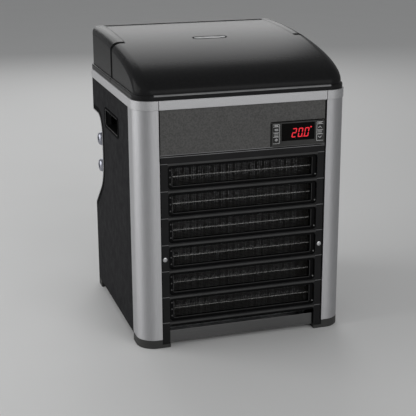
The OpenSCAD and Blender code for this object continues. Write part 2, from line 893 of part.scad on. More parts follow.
// Hollow hood with a proud lip round its foot
module hood_shell() {
    difference() {
        union() {
            hood_form(0, 0);
            translate([0, (hood_front + hood_rear) / 2, hood_z]) linear_extrude(lip_h)
                rounded(2 * (hood_x + lip_out), hood_rear - hood_front + 2 * lip_out,
                    hood_corner_r + lip_out);
        }
        hood_form(hood_t, cut);
    }
}

// Plan of the fixed rear part: two side arms and the strip behind the slot, grown by g
module rear_plan(g) {
    difference() {
        translate([-half_w, seam_y + seam_w / 2 - g * seam_w]) square([cab_w, half_d - seam_y + seam_w]);
        translate([arm_w + g * arm_gap - hood_x, -cut - seam_w])
            square([2 * (hood_x - arm_w - g * arm_gap),
                slot_rear + cut + seam_w - g * (slot_rear - slot_front)]);
    }
}

module hood_rear_frame() {
    color([0.04, 0.04, 0.04]) intersection() {
        hood_shell();
        translate([0, 0, hood_z]) linear_extrude(hood_h + cut) rear_plan(0);
    }
}

module hood_lid() {
    color([0.04, 0.04, 0.04]) difference() {
        hood_shell();
        translate([0, 0, hood_z - cut]) linear_extrude(hood_h + 2 * cut) rear_plan(1);
        block([-half_w, -half_d, hood_z - cut], [half_w, half_d, hood_z + lid_lift]);
        badge_seat() linear_extrude(badge_t + cut)
            rounded(badge_w + 2 * gap, badge_h + 2 * gap, badge_h / 2 + gap - gap / badge_h);
    }
}

// Frame of the badge: the floor of its pocket, which follows the lid's slope
module badge_seat() {
    translate([0, badge_y, crown_z(badge_y)]) rotate([crown_slope(badge_y), 0, 0])
        translate([0, 0, -badge_t]) children();
}

module lid_badge() {
    color("silver") badge_seat() linear_extrude(badge_t)
        rounded(badge_w, badge_h, badge_h / 2 - gap / badge_h);
}

// Hinge along the rear slot: knuckles in turn on the lid's leaf and on the frame's
module knuckle_row(parity) {
    step = leaf_len / knuckles;
    for (i = [0 : knuckles - 1]) if (i % 2 == parity)
        translate([i * step - leaf_len / 2 + knuckle_gap / 2, 0, 0]) children();
}

module hinge_leaf(parity, s, width) {
    step = leaf_len / knuckles;
    leaf_z = hood_top - hood_t - leaf_t - leaf_back / 2;
    reach = barrel_r + leaf_back;
    color([0.05, 0.05, 0.05]) difference() {
        union() {
            translate([-leaf_len / 2, hinge_y + (s > 0 ? reach : -reach - width), leaf_z])
                cube([leaf_len, width, leaf_t]);
            knuckle_row(parity) {
                translate([0, hinge_y, hinge_z]) rotate([0, 90, 0])
                    cylinder(r = barrel_r, h = step - knuckle_gap);
                translate([0, hinge_y - (s > 0 ? 0 : reach + cut), leaf_z])
                    cube([step - knuckle_gap, reach + cut, leaf_t]);
            }
        }
        translate([-leaf_len, hinge_y, hinge_z]) rotate([0, 90, 0])
            cylinder(r = pin_r + pin_fit, h = 2 * leaf_len);
    }
}

module lid_hinge_leaf() hinge_leaf(0, -1, leaf_w);
module frame_hinge_leaf() hinge_leaf(1, 1, frame_leaf_w);

module hinge_pin() {
    color("silver") translate([-leaf_len / 2, hinge_y, hinge_z]) rotate([0, 90, 0])
        cylinder(r = pin_r, h = leaf_len);
}

// Deck between the cabinet and the hood, open over the canister's cap
module top_deck() {
    deck_w = body_w - 2 * (post_t + deck_gap);
    front = front_y + control_t + deck_gap;
    color([0.55, 0.56, 0.57]) translate([0, 0, deck_z]) linear_extrude(deck_t) difference() {
        intersection() {
            rounded(deck_w, body_d - 2 * (post_t + deck_gap), body_r - post_t);
            translate([-half_w, front]) square([cab_w, body_y - panel_t - gap - front]);
        }
        translate([canister_x, canister_y]) circle(canister_r + canister_cap_over + deck_hole_gap);
    }
}

// Sealed compressor: a welded shell on a foot plate, with its two stubs on top
module compressor() {
    shell_z = compressor_foot_z + compressor_plate_t;
    color([0.06, 0.06, 0.07]) translate([compressor_x, compressor_y, 0]) {
        difference() {
            translate([0, 0, compressor_foot_z])
                cylinder(r = compressor_plate_r, h = compressor_plate_t, $fn = plate_sides);
            grommet_places(0) cylinder(r = grommet_bolt_r + gap, h = 3 * compressor_foot_z);
        }
        translate([0, 0, shell_z]) rotate_extrude() {
            square([compressor_r, compressor_h - compressor_dome]);
            square([compressor_r - compressor_dome, compressor_h]);
            translate([compressor_r - compressor_dome, compressor_h - compressor_dome]) intersection() {
                circle(compressor_dome);
                square(compressor_dome);
            }
            translate([0, compressor_h / 2]) square([compressor_r + compressor_seam, compressor_seam]);
        }
        for (s = [-1, 1]) translate([s * compressor_r / 3, 0, shell_z + compressor_h / 2])
            cylinder(r = stub_r, h = stub_z - shell_z - compressor_h / 2);
    }
}

module grommet_places(z) {
    for (k = [0 : 2]) rotate(60 + 120 * k) translate([grommet_ring, 0, z]) children();
}

module compressor_grommets() {
    color([0.1, 0.1, 0.1]) translate([compressor_x, compressor_y, pan_top]) grommet_places(0) {
        cylinder(r = grommet_r, h = compressor_foot_z - pan_top);
        cylinder(r = grommet_bolt_r, h = compressor_foot_z - pan_top + compressor_plate_t + grommet_bolt_r);
    }
}

// Height of a condenser tube
function row_z(i) = first_top - i * pitch - opening_h + tube_drop;

// Holes for the straight runs of the tube
module tube_holes() {
    for (i = [0 : tube_rows - 1])
        rod([-half_w, tube_y, row_z(i)], [half_w, tube_y, row_z(i)], tube_r + tube_fit);
}

// Stack of upright fins on the tubes
module condenser_fins() {
    half_count = floor(fin_half / fin_pitch);
    color([0.55, 0.56, 0.58]) difference() {
        for (i = [-half_count : half_count])
            translate([i * fin_pitch, 0, 0])
                block([-fin_t / 2, fin_y, fin_low], [fin_t / 2, fin_y + fin_d, fin_top]);
        tube_holes();
    }
}

// One tube that runs to and fro through the fins
module condenser_tubes() {
    color([0.72, 0.45, 0.28]) {
        for (i = [0 : tube_rows - 1])
            rod([-bend_x, tube_y, row_z(i)],
                [i == 0 || i == tube_rows - 1 ? tube_end : bend_x, tube_y, row_z(i)], tube_r);
        for (i = [0 : tube_rows - 2]) mirror([i % 2 == 0 ? 1 : 0, 0, 0]) {
            bend([bend_x + pitch / 2, tube_y, row_z(i)], [1, 0, 0], [0, 0, -1], tube_r, pitch / 2);
            bend([bend_x + pitch / 2, tube_y, row_z(i + 1)], [0, 0, -1], [-1, 0, 0], tube_r, pitch / 2);
        }
    }
}

module condenser_end_plates() {
    color([0.6, 0.61, 0.62]) difference() {
        for (s = [-1, 1]) translate([s * end_plate_x, 0, 0])
            block([-end_plate_t / 2, fin_y, pan_top], [end_plate_t / 2, fin_y + fin_d, fin_top]);
        tube_holes();
    }
}

// Plate behind the condenser with the fan's opening
module fan_shroud() {
    color([0.5, 0.51, 0.52]) plate_xz(shroud_y, shroud_t) difference() {
        translate([-shroud_half, pan_top]) square([2 * shroud_half, fin_top - pan_top]);
        translate([0, fan_z]) circle(fan_r + fan_hole_gap, $fn = fine_fn);
    }
}

// Hub and pitched sickle blades on the motor's shaft
module fan_rotor() {
    color([0.12, 0.12, 0.12]) translate([0, fan_front, fan_z]) rotate([-90, 0, 0]) {
        cylinder(r = hub_r, h = hub_h);
        translate([0, 0, hub_h / 2]) cylinder(r = shaft_r, h = hub_h / 2 + motor_gap + shaft_in);
        intersection() {
            cylinder(r = fan_r, h = hub_h);
            for (k = [0 : blades - 1])
                rotate(k * 360 / blades) translate([0, 0, hub_h / 2]) rotate([blade_pitch, 0, 0])
                    linear_extrude(blade_t, center = true) difference() {
                        translate([0, -blade_chord / 2]) square([fan_r, blade_chord]);
                        translate([fan_r / 2, blade_chord / 2 + blade_sweep]) circle(2 * blade_sweep);
                    }
        }
    }
}

module fan_motor() {
    color([0.2, 0.2, 0.21]) translate([0, motor_y, fan_z]) rotate([-90, 0, 0]) difference() {
        union() {
            cylinder(r = motor_r, h = motor_len);
            translate([0, 0, motor_len / 3]) cylinder(r = motor_r + motor_band, h = motor_len / 3);
        }
        translate([0, 0, -cut]) cylinder(r = shaft_r + shaft_fit, h = shaft_in + 2 * cut);
    }
}

// Strap that carries the motor, bolted to the shroud
module fan_bracket() {
    low_z = fan_z - strap_w / 2;
    high_z = fan_z + strap_w / 2;
    leg_y = shroud_y + shroud_t;
    color([0.5, 0.51, 0.52]) {
        block([-strap_half, strap_y, low_z], [strap_half, strap_y + strap_t, high_z]);
        for (s = [0, 1]) mirror([s, 0, 0]) {
            block([strap_half - strap_t, leg_y, low_z], [strap_half, strap_y + strap_t, high_z]);
            block([strap_half - strap_t, leg_y, low_z], [strap_half + strap_w / 3, leg_y + strap_t, high_z]);
        }
    }
}

// Canister of the heat exchanger, with two water stubs and two refrigerant stubs
module evaporator_canister() {
    left = canister_x - canister_r;
    color([0.14, 0.15, 0.17]) difference() {
        union() {
            translate([canister_x, canister_y, pan_top])
                cylinder(r = canister_r, h = canister_cap_z - pan_top);
            for (i = [0, 1]) rod([left - canister_stub, connector_y, connector_z - i * connector_drop],
                [canister_x, connector_y, connector_z - i * connector_drop], connector_r + canister_t / 2);
            rod([canister_x, canister_y - coil_r, suction_z],
                [canister_x + port_reach, canister_y - coil_r, suction_z], coil_tube_r + port_t);
            rod([canister_x + coil_r, canister_y, coil_z],
                [canister_x + coil_r, canister_y - port_reach, coil_z], coil_tube_r + port_t);
        }
        translate([canister_x, canister_y, pan_top + canister_t])
            cylinder(r = canister_r - canister_t, h = canister_cap_z);
        for (i = [0, 1]) rod([left - canister_stub - cut, connector_y, connector_z - i * connector_drop],
            [canister_x, connector_y, connector_z - i * connector_drop], connector_bore_r);
        rod([canister_x, canister_y - coil_r, suction_z],
            [canister_x + port_reach + cut, canister_y - coil_r, suction_z], coil_tube_r + gap);
        rod([canister_x + coil_r, canister_y, coil_z],
            [canister_x + coil_r, canister_y - port_reach - cut, coil_z], coil_tube_r + gap);
    }
}

// Turn of the coil at ring k, in degrees
function coil_turn(k) = 360 * max(0, min(coil_steps, k)) / coil_rings;

// Centre of ring k: a straight lead in at the front, the helix, and a straight lead out at the side
function coil_centre(k) =
    k < 0 ? [coil_r, -port_reach, coil_z] :
    k > coil_steps ? [port_reach, -coil_r, suction_z] :
    [coil_r * cos(coil_turn(k)), coil_r * sin(coil_turn(k)), coil_z + (suction_z - coil_z) * k / coil_steps];

// Refrigerant coil in the canister, one unbroken tube
module evaporator_coil() {
    points = [for (k = [-1 : coil_steps + 1], j = [0 : coil_sides - 1])
        let (a = coil_turn(k), b = 360 * j / coil_sides)
        coil_centre(k) + coil_tube_r * [cos(a) * cos(b), sin(a) * cos(b), sin(b)]];
    last = len(points) - coil_sides;
    faces = concat([[for (j = [0 : coil_sides - 1]) j]], [[for (j = [coil_sides - 1 : -1 : 0]) last + j]],
        [for (i = [0 : coil_sides : last - 1], j = [0 : coil_sides - 1])
            let (a = i + j, b = i + (j + 1) % coil_sides)
            each [[a, b + coil_sides, b], [a, a + coil_sides, b + coil_sides]]]);
    color([0.6, 0.6, 0.58]) translate([canister_x, canister_y, 0])
        polyhedron(points, faces, convexity = coil_turns);
}

module evaporator_cap() {
    color([0.07, 0.07, 0.08]) translate([canister_x, canister_y, canister_cap_z]) {
        difference() {
            cylinder(r = canister_r + canister_cap_over, h = canister_cap_h);
            for (k = [0 : cap_grips - 1]) rotate(k * 360 / cap_grips)
                translate([canister_r + canister_cap_over, 0, -cut])
                    cylinder(r = cap_grip_r, h = canister_cap_h + 2 * cut);
        }
        difference() {
            translate([0, 0, -cap_plug]) cylinder(r = canister_r - canister_t - gap, h = cap_plug + cut);
            seal_outline(seal_fit);
        }
    }
}

// Ring round the cap's plug, grown by g
module seal_outline(g) {
    translate([0, 0, -cap_plug / 2]) rotate_extrude() translate([seal_ring, 0]) circle(seal_r + g);
}

module cap_seal() {
    color([0.05, 0.05, 0.05]) translate([canister_x, canister_y, canister_cap_z]) seal_outline(0);
}

module filter_drier() {
    color([0.72, 0.45, 0.28]) translate([liquid_x, drier_y, drier_z]) {
        cylinder(r1 = drier_neck_r, r2 = drier_r, h = drier_cone);
        translate([0, 0, drier_cone]) cylinder(r = drier_r, h = drier_h - 2 * drier_cone);
        translate([0, 0, drier_h - drier_cone]) cylinder(r1 = drier_r, r2 = drier_neck_r, h = drier_cone);
    }
}

module discharge_pipe() {
    stub_x = compressor_x + compressor_r / 3;
    color([0.72, 0.45, 0.28]) pipe([[stub_x, compressor_y, stub_z], [stub_x, compressor_y, discharge_z],
        [discharge_x, compressor_y, discharge_z], [discharge_x, tube_y, discharge_z],
        [discharge_x, tube_y, row_z(0)], [tube_end, tube_y, row_z(0)]], pipe_r, bend_r);
}

module liquid_pipe() {
    low_z = row_z(tube_rows - 1);
    color([0.72, 0.45, 0.28]) pipe([[tube_end, tube_y, low_z], [liquid_x, tube_y, low_z],
        [liquid_x, drier_y, low_z], [liquid_x, drier_y, drier_z]], pipe_r, bend_r);
}

module capillary_pipe() {
    port_x = canister_x + coil_r;
    color([0.72, 0.45, 0.28]) pipe([[liquid_x, drier_y, drier_z + drier_h], [liquid_x, drier_y, capillary_z],
        [port_x, drier_y, capillary_z], [port_x, drier_y, coil_z], [port_x, canister_y - port_reach, coil_z]],
        capillary_r, bend_r);
}

module suction_pipe() {
    port_y = canister_y - coil_r;
    stub_x = compressor_x - compressor_r / 3;
    color([0.72, 0.45, 0.28]) pipe([[canister_x + port_reach, port_y, suction_z], [stub_x, port_y, suction_z],
        [stub_x, compressor_y, suction_z], [stub_x, compressor_y, stub_z]], pipe_r, bend_r);
}

// Electrics box behind the rear panel, with its cover and two cable glands
module electrics_box() {
    front = panel_in - gap - box_d;
    low = box_top - box_h;
    color([0.55, 0.56, 0.57]) {
        block([box_left, front, low], [box_right, panel_in - gap, box_top]);
        block([box_left - box_cover, front, low - box_cover],
            [box_right + box_cover, front + box_cover_t, box_top + box_cover]);
        for (share = [1 / 4, 3 / 4])
            translate([box_left + (box_right - box_left) * share, front + box_d / 2, low - gland_len])
                cylinder(r = gland_r, h = gland_len + cut, $fn = plate_sides);
    }
}

// Mains inlet: a flanged socket with its three prongs
module mains_inlet() {
    deep = inlet_d - inlet_t;
    color([0.05, 0.05, 0.05]) difference() {
        union() {
            plate_xz(body_y, inlet_flange_t) translate([inlet_x, inlet_z])
                rounded(inlet_flange_w, inlet_flange_h, inlet_flange_r);
            plate_xz(body_y - inlet_d, inlet_d + inlet_flange_t / 2) translate([inlet_x, inlet_z])
                square([inlet_w, inlet_h], center = true);
        }
        plate_xz(body_y - deep, deep + inlet_flange_t + cut) translate([inlet_x, inlet_z])
            square([inlet_w - 2 * inlet_t, inlet_h - 2 * inlet_t], center = true);
    }
    color("silver") for (k = [-1, 0, 1])
        translate([inlet_x + k * prong_x, body_y - deep + (prong_len - inlet_t) / 2,
            inlet_z + prong_step * (abs(k) - 1 / 2)])
            cube([prong_t, prong_len + inlet_t, prong_h], center = true);
}

base_pan();
foot_front_left();
foot_front_right();
foot_rear_left();
foot_rear_right();
post_front_left();
post_front_right();
left_panel();
right_panel();
rear_panel();
trim_front();
trim_rear();
trim_left();
trim_right();
control_panel();
front_grille();
grille_screws();
filter_frame();
filter_net();
controller_bezel();
controller_case();
display_window();
key_set();
key_standby();
key_up();
key_down();
left_handle_cup();
right_handle_cup();
hose_recess();
inlet_connector();
outlet_connector();
union_nuts();
hood_rear_frame();
hood_lid();
lid_badge();
lid_hinge_leaf();
frame_hinge_leaf();
hinge_pin();
top_deck();
compressor();
compressor_grommets();
condenser_fins();
condenser_tubes();
condenser_end_plates();
fan_shroud();
fan_motor();
fan_bracket();
fan_rotor();
evaporator_canister();
evaporator_coil();
evaporator_cap();
cap_seal();
filter_drier();
discharge_pipe();
liquid_pipe();
capillary_pipe();
suction_pipe();
electrics_box();
mains_inlet();
rear_screws();
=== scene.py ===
import json
import math

import bmesh
import bpy
from mathutils import Matrix, Vector


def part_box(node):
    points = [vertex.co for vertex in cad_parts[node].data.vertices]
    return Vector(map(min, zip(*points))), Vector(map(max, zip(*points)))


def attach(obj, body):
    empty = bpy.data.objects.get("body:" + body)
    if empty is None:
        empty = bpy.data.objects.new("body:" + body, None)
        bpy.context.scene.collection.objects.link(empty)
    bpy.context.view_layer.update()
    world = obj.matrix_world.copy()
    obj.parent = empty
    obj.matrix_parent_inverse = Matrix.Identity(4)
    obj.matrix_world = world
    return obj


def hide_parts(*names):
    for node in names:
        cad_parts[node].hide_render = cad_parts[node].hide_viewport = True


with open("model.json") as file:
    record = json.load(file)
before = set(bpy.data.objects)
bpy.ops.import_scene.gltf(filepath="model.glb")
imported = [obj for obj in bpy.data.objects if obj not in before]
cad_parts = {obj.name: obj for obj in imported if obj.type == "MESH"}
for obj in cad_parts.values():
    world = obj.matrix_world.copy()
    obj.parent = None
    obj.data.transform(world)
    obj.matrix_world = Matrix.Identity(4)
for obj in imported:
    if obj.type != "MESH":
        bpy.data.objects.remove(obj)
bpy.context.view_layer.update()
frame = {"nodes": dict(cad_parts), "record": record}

# Shapes are written in millimetres, and the places of camera, lamps and floor in metres
MM = 0.001
SIDES = (-1, 1)
RECORD = frame["record"]
NODE_BODY = {node: body for body, nodes in RECORD["behaviour"]["bodies"].items() for node in nodes}
NODE_SLOT = {part["node"]: part["material_slot"] for part in RECORD["subparts"]}

# Camera: the photograph's viewing angle. Angles in degrees, sensor and lens in millimetres
CAMERA_PLACE = (-0.4624, -1.4796, 0.6199)
CAMERA_AZIMUTH = -17.155
CAMERA_ELEVATION = 16.93
CAMERA_ROLL = -0.28
CAMERA_SENSOR = 36
CAMERA_LENS = 93.7


def add_to_scene(name, data):
    obj = bpy.data.objects.new(name, data)
    bpy.context.scene.collection.objects.link(obj)
    return obj


def look_along(azimuth, elevation, roll):
    """Rotation of a camera that looks along +Y at azimuth 0, tilted down by elevation."""
    a, e = math.radians(azimuth), math.radians(elevation)
    back = Vector((math.sin(a) * math.cos(e), -math.cos(a) * math.cos(e), math.sin(e)))
    turn = (-back).to_track_quat("-Z", "Y").to_matrix().to_4x4()
    return turn @ Matrix.Rotation(math.radians(roll), 4, "Z")


def add_camera():
    data = bpy.data.cameras.new("camera")
    data.sensor_width = CAMERA_SENSOR
    data.lens = CAMERA_LENS
    camera = add_to_scene("camera", data)
    turn = look_along(CAMERA_AZIMUTH, CAMERA_ELEVATION, CAMERA_ROLL)
    camera.matrix_world = Matrix.Translation(CAMERA_PLACE) @ turn
    bpy.context.scene.camera = camera


# Materials

# The part of a texture's range that holds most of its values
TEXTURE_LOW = 0.3
TEXTURE_HIGH = 0.7
# Turn of a stretched reflection, as a share of a full turn
QUARTER_TURN = 0.25


class Shader:
    """A node material built up in steps, with the object's own metres as coordinates."""

    def __init__(self, name, colour, roughness, metallic=0.0):
        self.material = bpy.data.materials.new(name)
        self.material.use_nodes = True
        self.nodes = self.material.node_tree.nodes
        self.links = self.material.node_tree.links
        self.base = self.nodes["Principled BSDF"]
        self.colour = colour
        self.base.inputs["Base Color"].default_value = (*colour, 1)
        self.base.inputs["Roughness"].default_value = roughness
        self.base.inputs["Metallic"].default_value = metallic
        self.material.diffuse_color = (*colour, 1)
        self.place = self.nodes.new("ShaderNodeTexCoord").outputs["Object"]
        self.normal = None

    def add(self, kind, source, socket, values):
        """Adds a node with source on its socket and constant values on others."""
        node = self.nodes.new(kind)
        for name, value in values.items():
            node.inputs[name].default_value = value
        self.links.new(source, node.inputs[socket])
        return node

    def noise(self, scale, detail=3.0, stretch=(1, 1, 1)):
        """Noise with about scale grains to the metre, more of them along an axis by its stretch."""
        mapping = self.add("ShaderNodeMapping", self.place, "Vector", {"Scale": stretch})
        settings = {"Scale": scale, "Detail": detail}
        return self.add("ShaderNodeTexNoise", mapping.outputs["Vector"], "Vector", settings).outputs["Fac"]

    def cells(self, scale):
        return self.add("ShaderNodeTexVoronoi", self.place, "Vector", {"Scale": scale}).outputs["Distance"]

    def spread(self, value, low, high):
        """Maps a texture's value onto a range of roughness or shade."""
        ends = {"From Min": TEXTURE_LOW, "From Max": TEXTURE_HIGH, "To Min": low, "To Max": high}
        return self.add("ShaderNodeMapRange", value, "Value", ends).outputs["Result"]

    def bump(self, value, strength, depth):
        """Adds relief to the surface, depth in metres, over the relief that it has."""
        node = self.add("ShaderNodeBump", value, "Height", {"Strength": strength, "Distance": depth})
        if self.normal:
            self.links.new(self.normal, node.inputs["Normal"])
        self.normal = node.outputs["Normal"]
        self.links.new(self.normal, self.base.inputs["Normal"])

    def vary_roughness(self, value, low, high):
        self.links.new(self.spread(value, low, high), self.base.inputs["Roughness"])
        return self

    def vary_colour(self, value, dark, light):
        """Blends between two multiples of the base colour."""
        mix = self.nodes.new("ShaderNodeMix")
        mix.data_type = "RGBA"
        mix.inputs["A"].default_value = (*[c * dark for c in self.colour], 1)
        mix.inputs["B"].default_value = (*[min(1.0, c * light) for c in self.colour], 1)
        self.links.new(self.spread(value, 0, 1), mix.inputs["Factor"])
        self.links.new(mix.outputs["Result"], self.base.inputs["Base Color"])
        return self

    def gloss(self, level):
        """Strength of the plain surface reflection, 0.5 for a clear plastic."""
        self.base.inputs["Specular IOR Level"].default_value = level
        return self

    def stretched(self, amount):
        """Draws reflections out along Z, as on an extruded profile."""
        tangent = self.nodes.new("ShaderNodeTangent")
        tangent.direction_type = "RADIAL"
        tangent.axis = "Z"
        self.links.new(tangent.outputs["Tangent"], self.base.inputs["Tangent"])
        self.base.inputs["Anisotropic"].default_value = amount
        self.base.inputs["Anisotropic Rotation"].default_value = QUARTER_TURN
        return self


def moulded(name, colour, roughness, level=0.15, grain=2600, depth=0.00004):
    """Moulded plastic: a fine grain, with slightly uneven gloss."""
    s = Shader(name, colour, roughness).gloss(level)
    s.bump(s.noise(grain, detail=2), strength=0.35, depth=depth)
    s.vary_roughness(s.noise(60, detail=4), roughness - 0.06, roughness + 0.08)
    return s.vary_colour(s.noise(35), dark=0.88, light=1.12).material


def painted(name, colour, roughness, level=0.08, grain=900, contrast=0.2):
    """Powder coat: a pebbled, mottled skin with a soft sheen."""
    s = Shader(name, colour, roughness).gloss(level)
    s.bump(s.cells(1500), strength=0.5, depth=0.00005)
    s.bump(s.noise(4200, detail=2), strength=0.25, depth=0.00003)
    s.vary_roughness(s.noise(90), roughness - 0.07, roughness + 0.07)
    return s.vary_colour(s.noise(grain, detail=2), dark=1 - contrast, light=1 + contrast).material


def brushed(name, colour, roughness, stretch):
    """Brushed metal: streaks along one axis."""
    s = Shader(name, colour, roughness, metallic=1.0)
    streaks = s.noise(1, detail=6, stretch=stretch)
    s.bump(streaks, strength=0.18, depth=0.00002)
    s.vary_roughness(streaks, roughness - 0.07, roughness + 0.1)
    return s.vary_colour(streaks, dark=0.86, light=1.12).material


def anodised(name, colour, roughness, spread):
    """Satin anodised extrusion: a fine sandy skin over a smooth profile."""
    s = Shader(name, colour, roughness, metallic=1.0).stretched(spread)
    s.bump(s.noise(5200, detail=2), strength=0.1, depth=0.00001)
    s.vary_roughness(s.noise(3000, detail=2), roughness - 0.03, roughness + 0.03)
    return s.vary_colour(s.noise(1, detail=4, stretch=(1700, 1700, 60)), dark=0.94, light=1.05).material


def blasted(name, colour, roughness):
    """Bead-blasted aluminium with a fine sparkle."""
    s = Shader(name, colour, roughness, metallic=1.0)
    s.bump(s.noise(3400, detail=2), strength=0.3, depth=0.00002)
    s.vary_roughness(s.noise(1800, detail=2), roughness - 0.06, roughness + 0.06)
    return s.vary_colour(s.noise(1500), dark=0.86, light=1.14).material


def plated(name, colour, roughness):
    """Plated or drawn metal with faint clouds."""
    s = Shader(name, colour, roughness, metallic=1.0)
    s.bump(s.noise(700), strength=0.12, depth=0.00003)
    s.vary_roughness(s.noise(120, detail=4), roughness - 0.08, roughness + 0.12)
    return s.vary_colour(s.noise(45, detail=4), dark=0.82, light=1.12).material


def satin(name, colour, roughness):
    """Satin moulding: a soft gloss over a very fine skin."""
    s = Shader(name, colour, roughness).gloss(0.05)
    s.bump(s.noise(3600, detail=2), strength=0.08, depth=0.00001)
    s.vary_roughness(s.noise(420, detail=2), roughness - 0.005, roughness + 0.02)
    return s.vary_colour(s.noise(260), dark=0.9, light=1.1).material


def galvanised(name, colour, roughness):
    """Zinc-coated sheet with its spangle."""
    s = Shader(name, colour, roughness, metallic=1.0)
    s.vary_colour(s.cells(160), dark=0.8, light=1.15)
    return s.vary_roughness(s.cells(210), roughness - 0.08, roughness + 0.1).material


def glow(name, colour, strength):
    """Lit segments of a display."""
    s = Shader(name, [c * 0.25 for c in colour], 0.5).gloss(0.05)
    s.base.inputs["Emission Color"].default_value = (*colour, 1)
    s.base.inputs["Emission Strength"].default_value = strength
    return s.vary_roughness(s.noise(900, detail=2), 0.35, 0.45).material


# Stretch of a noise that draws streaks along X
ALONG_X = (14, 2600, 2600)
# Name: the function that makes it, its colour, and the other values that this function takes
FINISHES = {
    "post_metal": (anodised, (0.45, 0.45, 0.46), 0.6, 0.45),
    "trim_metal": (blasted, (0.465, 0.465, 0.473), 0.6),
    "painted_steel": (brushed, (0.12, 0.12, 0.12), 0.42, ALONG_X),
    "foot_plastic": (moulded, (0.04, 0.04, 0.039), 0.55),
    "panel_grey": (painted, (0.014, 0.014, 0.0152), 0.62, 0.03, 900, 0.12),
    "control_grey": (painted, (0.085, 0.084, 0.082), 0.55, 0.1, 480, 0.22),
    "black_plastic": (moulded, (0.009, 0.009, 0.0095), 0.45, 0.12),
    "black_gloss": (moulded, (0.035, 0.035, 0.034), 0.4),
    # Black plastic of the grip cups, darkened further to paint the shade inside them and round their frames
    "cup_black": (moulded, (0.0018, 0.0018, 0.002), 0.65, 0.02),
    # Black plastic of the filter frame, darkened further to paint the shade band inside the grille's
    # openings
    "filter_plastic": (moulded, (0.003, 0.003, 0.0032), 0.5, 0.05),
    "net_black": (moulded, (0.012, 0.0115, 0.0105), 0.6, 0.05),
    # Grey that paints the lit faces of the grille's ledges and of the filter's sills and jambs
    "rib_grey": (moulded, (0.034, 0.034, 0.034), 0.45),
    # Light grey that paints highlights on the edges of black mouldings
    "edge_grey": (moulded, (0.17, 0.17, 0.173), 0.45),
    # Black of the strips that paint the shade in gaps, seams, the rear slot, the badge's pocket and round
    # the notch
    "seal_black": (moulded, (0.0022, 0.0022, 0.0024), 0.7, 0.03),
    "screw_steel": (plated, (0.45, 0.45, 0.46), 0.28),
    "display_glass": (moulded, (0.0012, 0.001, 0.001), 0.2, 0.05, 6000, 0.000002),
    "key_rubber": (moulded, (0.024, 0.024, 0.025), 0.5),
    "connector_metal": (plated, (0.36, 0.37, 0.42), 0.3),
    "hood_black": (satin, (0.013, 0.013, 0.0135), 0.24),
    "badge_silver": (plated, (0.30, 0.305, 0.31), 0.48),
    "galvanised_steel": (galvanised, (0.46, 0.47, 0.48), 0.42),
    "compressor_black": (painted, (0.014, 0.014, 0.015), 0.4),
    "grommet_rubber": (moulded, (0.02, 0.02, 0.02), 0.7),
    "fin_aluminium": (plated, (0.42, 0.42, 0.43), 0.4),
    "copper": (plated, (0.62, 0.30, 0.18), 0.32),
    "coil_titanium": (plated, (0.40, 0.39, 0.37), 0.35),
    "motor_grey": (painted, (0.10, 0.10, 0.105), 0.45),
    "fan_plastic": (moulded, (0.02, 0.02, 0.02), 0.45),
    "canister_plastic": (moulded, (0.045, 0.047, 0.055), 0.4),
    "digit_glow": (glow, (0.75, 0.03, 0.045), 1.0),
    "mark_white": (moulded, (0.55, 0.55, 0.55), 0.5),
    "mark_grey": (moulded, (0.5, 0.5, 0.5), 0.5),
    # Light grey that paints the highlight line of the condenser's tubes on the stay wires
    "wire_grey": (moulded, (0.6, 0.6, 0.58), 0.45),
    # Light grey that paints the highlight on the notch's rim
    "bead_grey": (moulded, (0.5, 0.5, 0.505), 0.4),
    # Light grey that paints the highlight along the lid's lip
    "lip_grey": (moulded, (0.19, 0.19, 0.193), 0.35, 0.3),
    "tube_grey": (plated, (0.12, 0.12, 0.12), 0.45),
    # Grey that paints the dim glints of the left filter clips and the highlight on the grip cups' borders
    "clip_grey": (moulded, (0.07, 0.07, 0.07), 0.45),
    # Light grey that paints the bright glints at the windows' right ends
    "stud_grey": (moulded, (0.24, 0.24, 0.24), 0.4),
}
MATERIALS = {name: make(name, *values) for name, (make, *values) in FINISHES.items()}
SLOT_MATERIAL = {"anodised_aluminium": "post_metal"}
NODE_MATERIAL = {
    "trim_front": "trim_metal", "trim_rear": "trim_metal",
    "trim_left": "trim_metal", "trim_right": "trim_metal",
    # The grip cups wear a black darkened to paint the shade inside them
    "left_handle_cup": "cup_black", "right_handle_cup": "cup_black",
    "condenser_tubes": "tube_grey",
}


def finish_of(node):
    """Name of the material that a node wears."""
    slot = NODE_SLOT[node]
    return NODE_MATERIAL.get(node, SLOT_MATERIAL.get(slot, slot))


def wear(obj, finish):
    obj.data.materials.clear()
    obj.data.materials.append(MATERIALS[finish])


# Mesh helpers

# Bevels: steps, and the least angle in degrees of an edge that is rounded, on plain and on curved forms
BEVEL_STEPS = 2
BEVEL_ANGLE = 34
CURVED_ANGLE = 40
# Bevels of small pieces
FINE_EDGE = 0.1
SMALL_EDGE = 0.15
SHADE_EDGE = 0.2
# In a node's mesh, points this near are one point, and faces within this many degrees are one face
NODE_MERGE = 0.002
NODE_FLAT = 0.4
# Points this near to each other are merged after a boolean
CUT_MERGE = 0.03


def make_object(name, bm):
    mesh = bpy.data.meshes.new(name)
    bm.to_mesh(mesh)
    bm.free()
    return add_to_scene(name, mesh)


def solid(name, bm):
    """Object of bm's closed forms, with the faces turned outwards."""
    bmesh.ops.recalc_face_normals(bm, faces=bm.faces)
    return make_object(name, bm)


def soften(obj, width, angle=BEVEL_ANGLE):
    """Rounds every sharp edge by a small bevel, with flat faces kept flat."""
    bevel = obj.modifiers.new("edge", "BEVEL")
    bevel.width = width * MM
    bevel.segments = BEVEL_STEPS
    bevel.limit_method = "ANGLE"
    bevel.angle_limit = math.radians(angle)
    weigh = obj.modifiers.new("flat", "WEIGHTED_NORMAL")
    weigh.mode = "FACE_AREA"
    for face in obj.data.polygons:
        face.use_smooth = True
    return obj


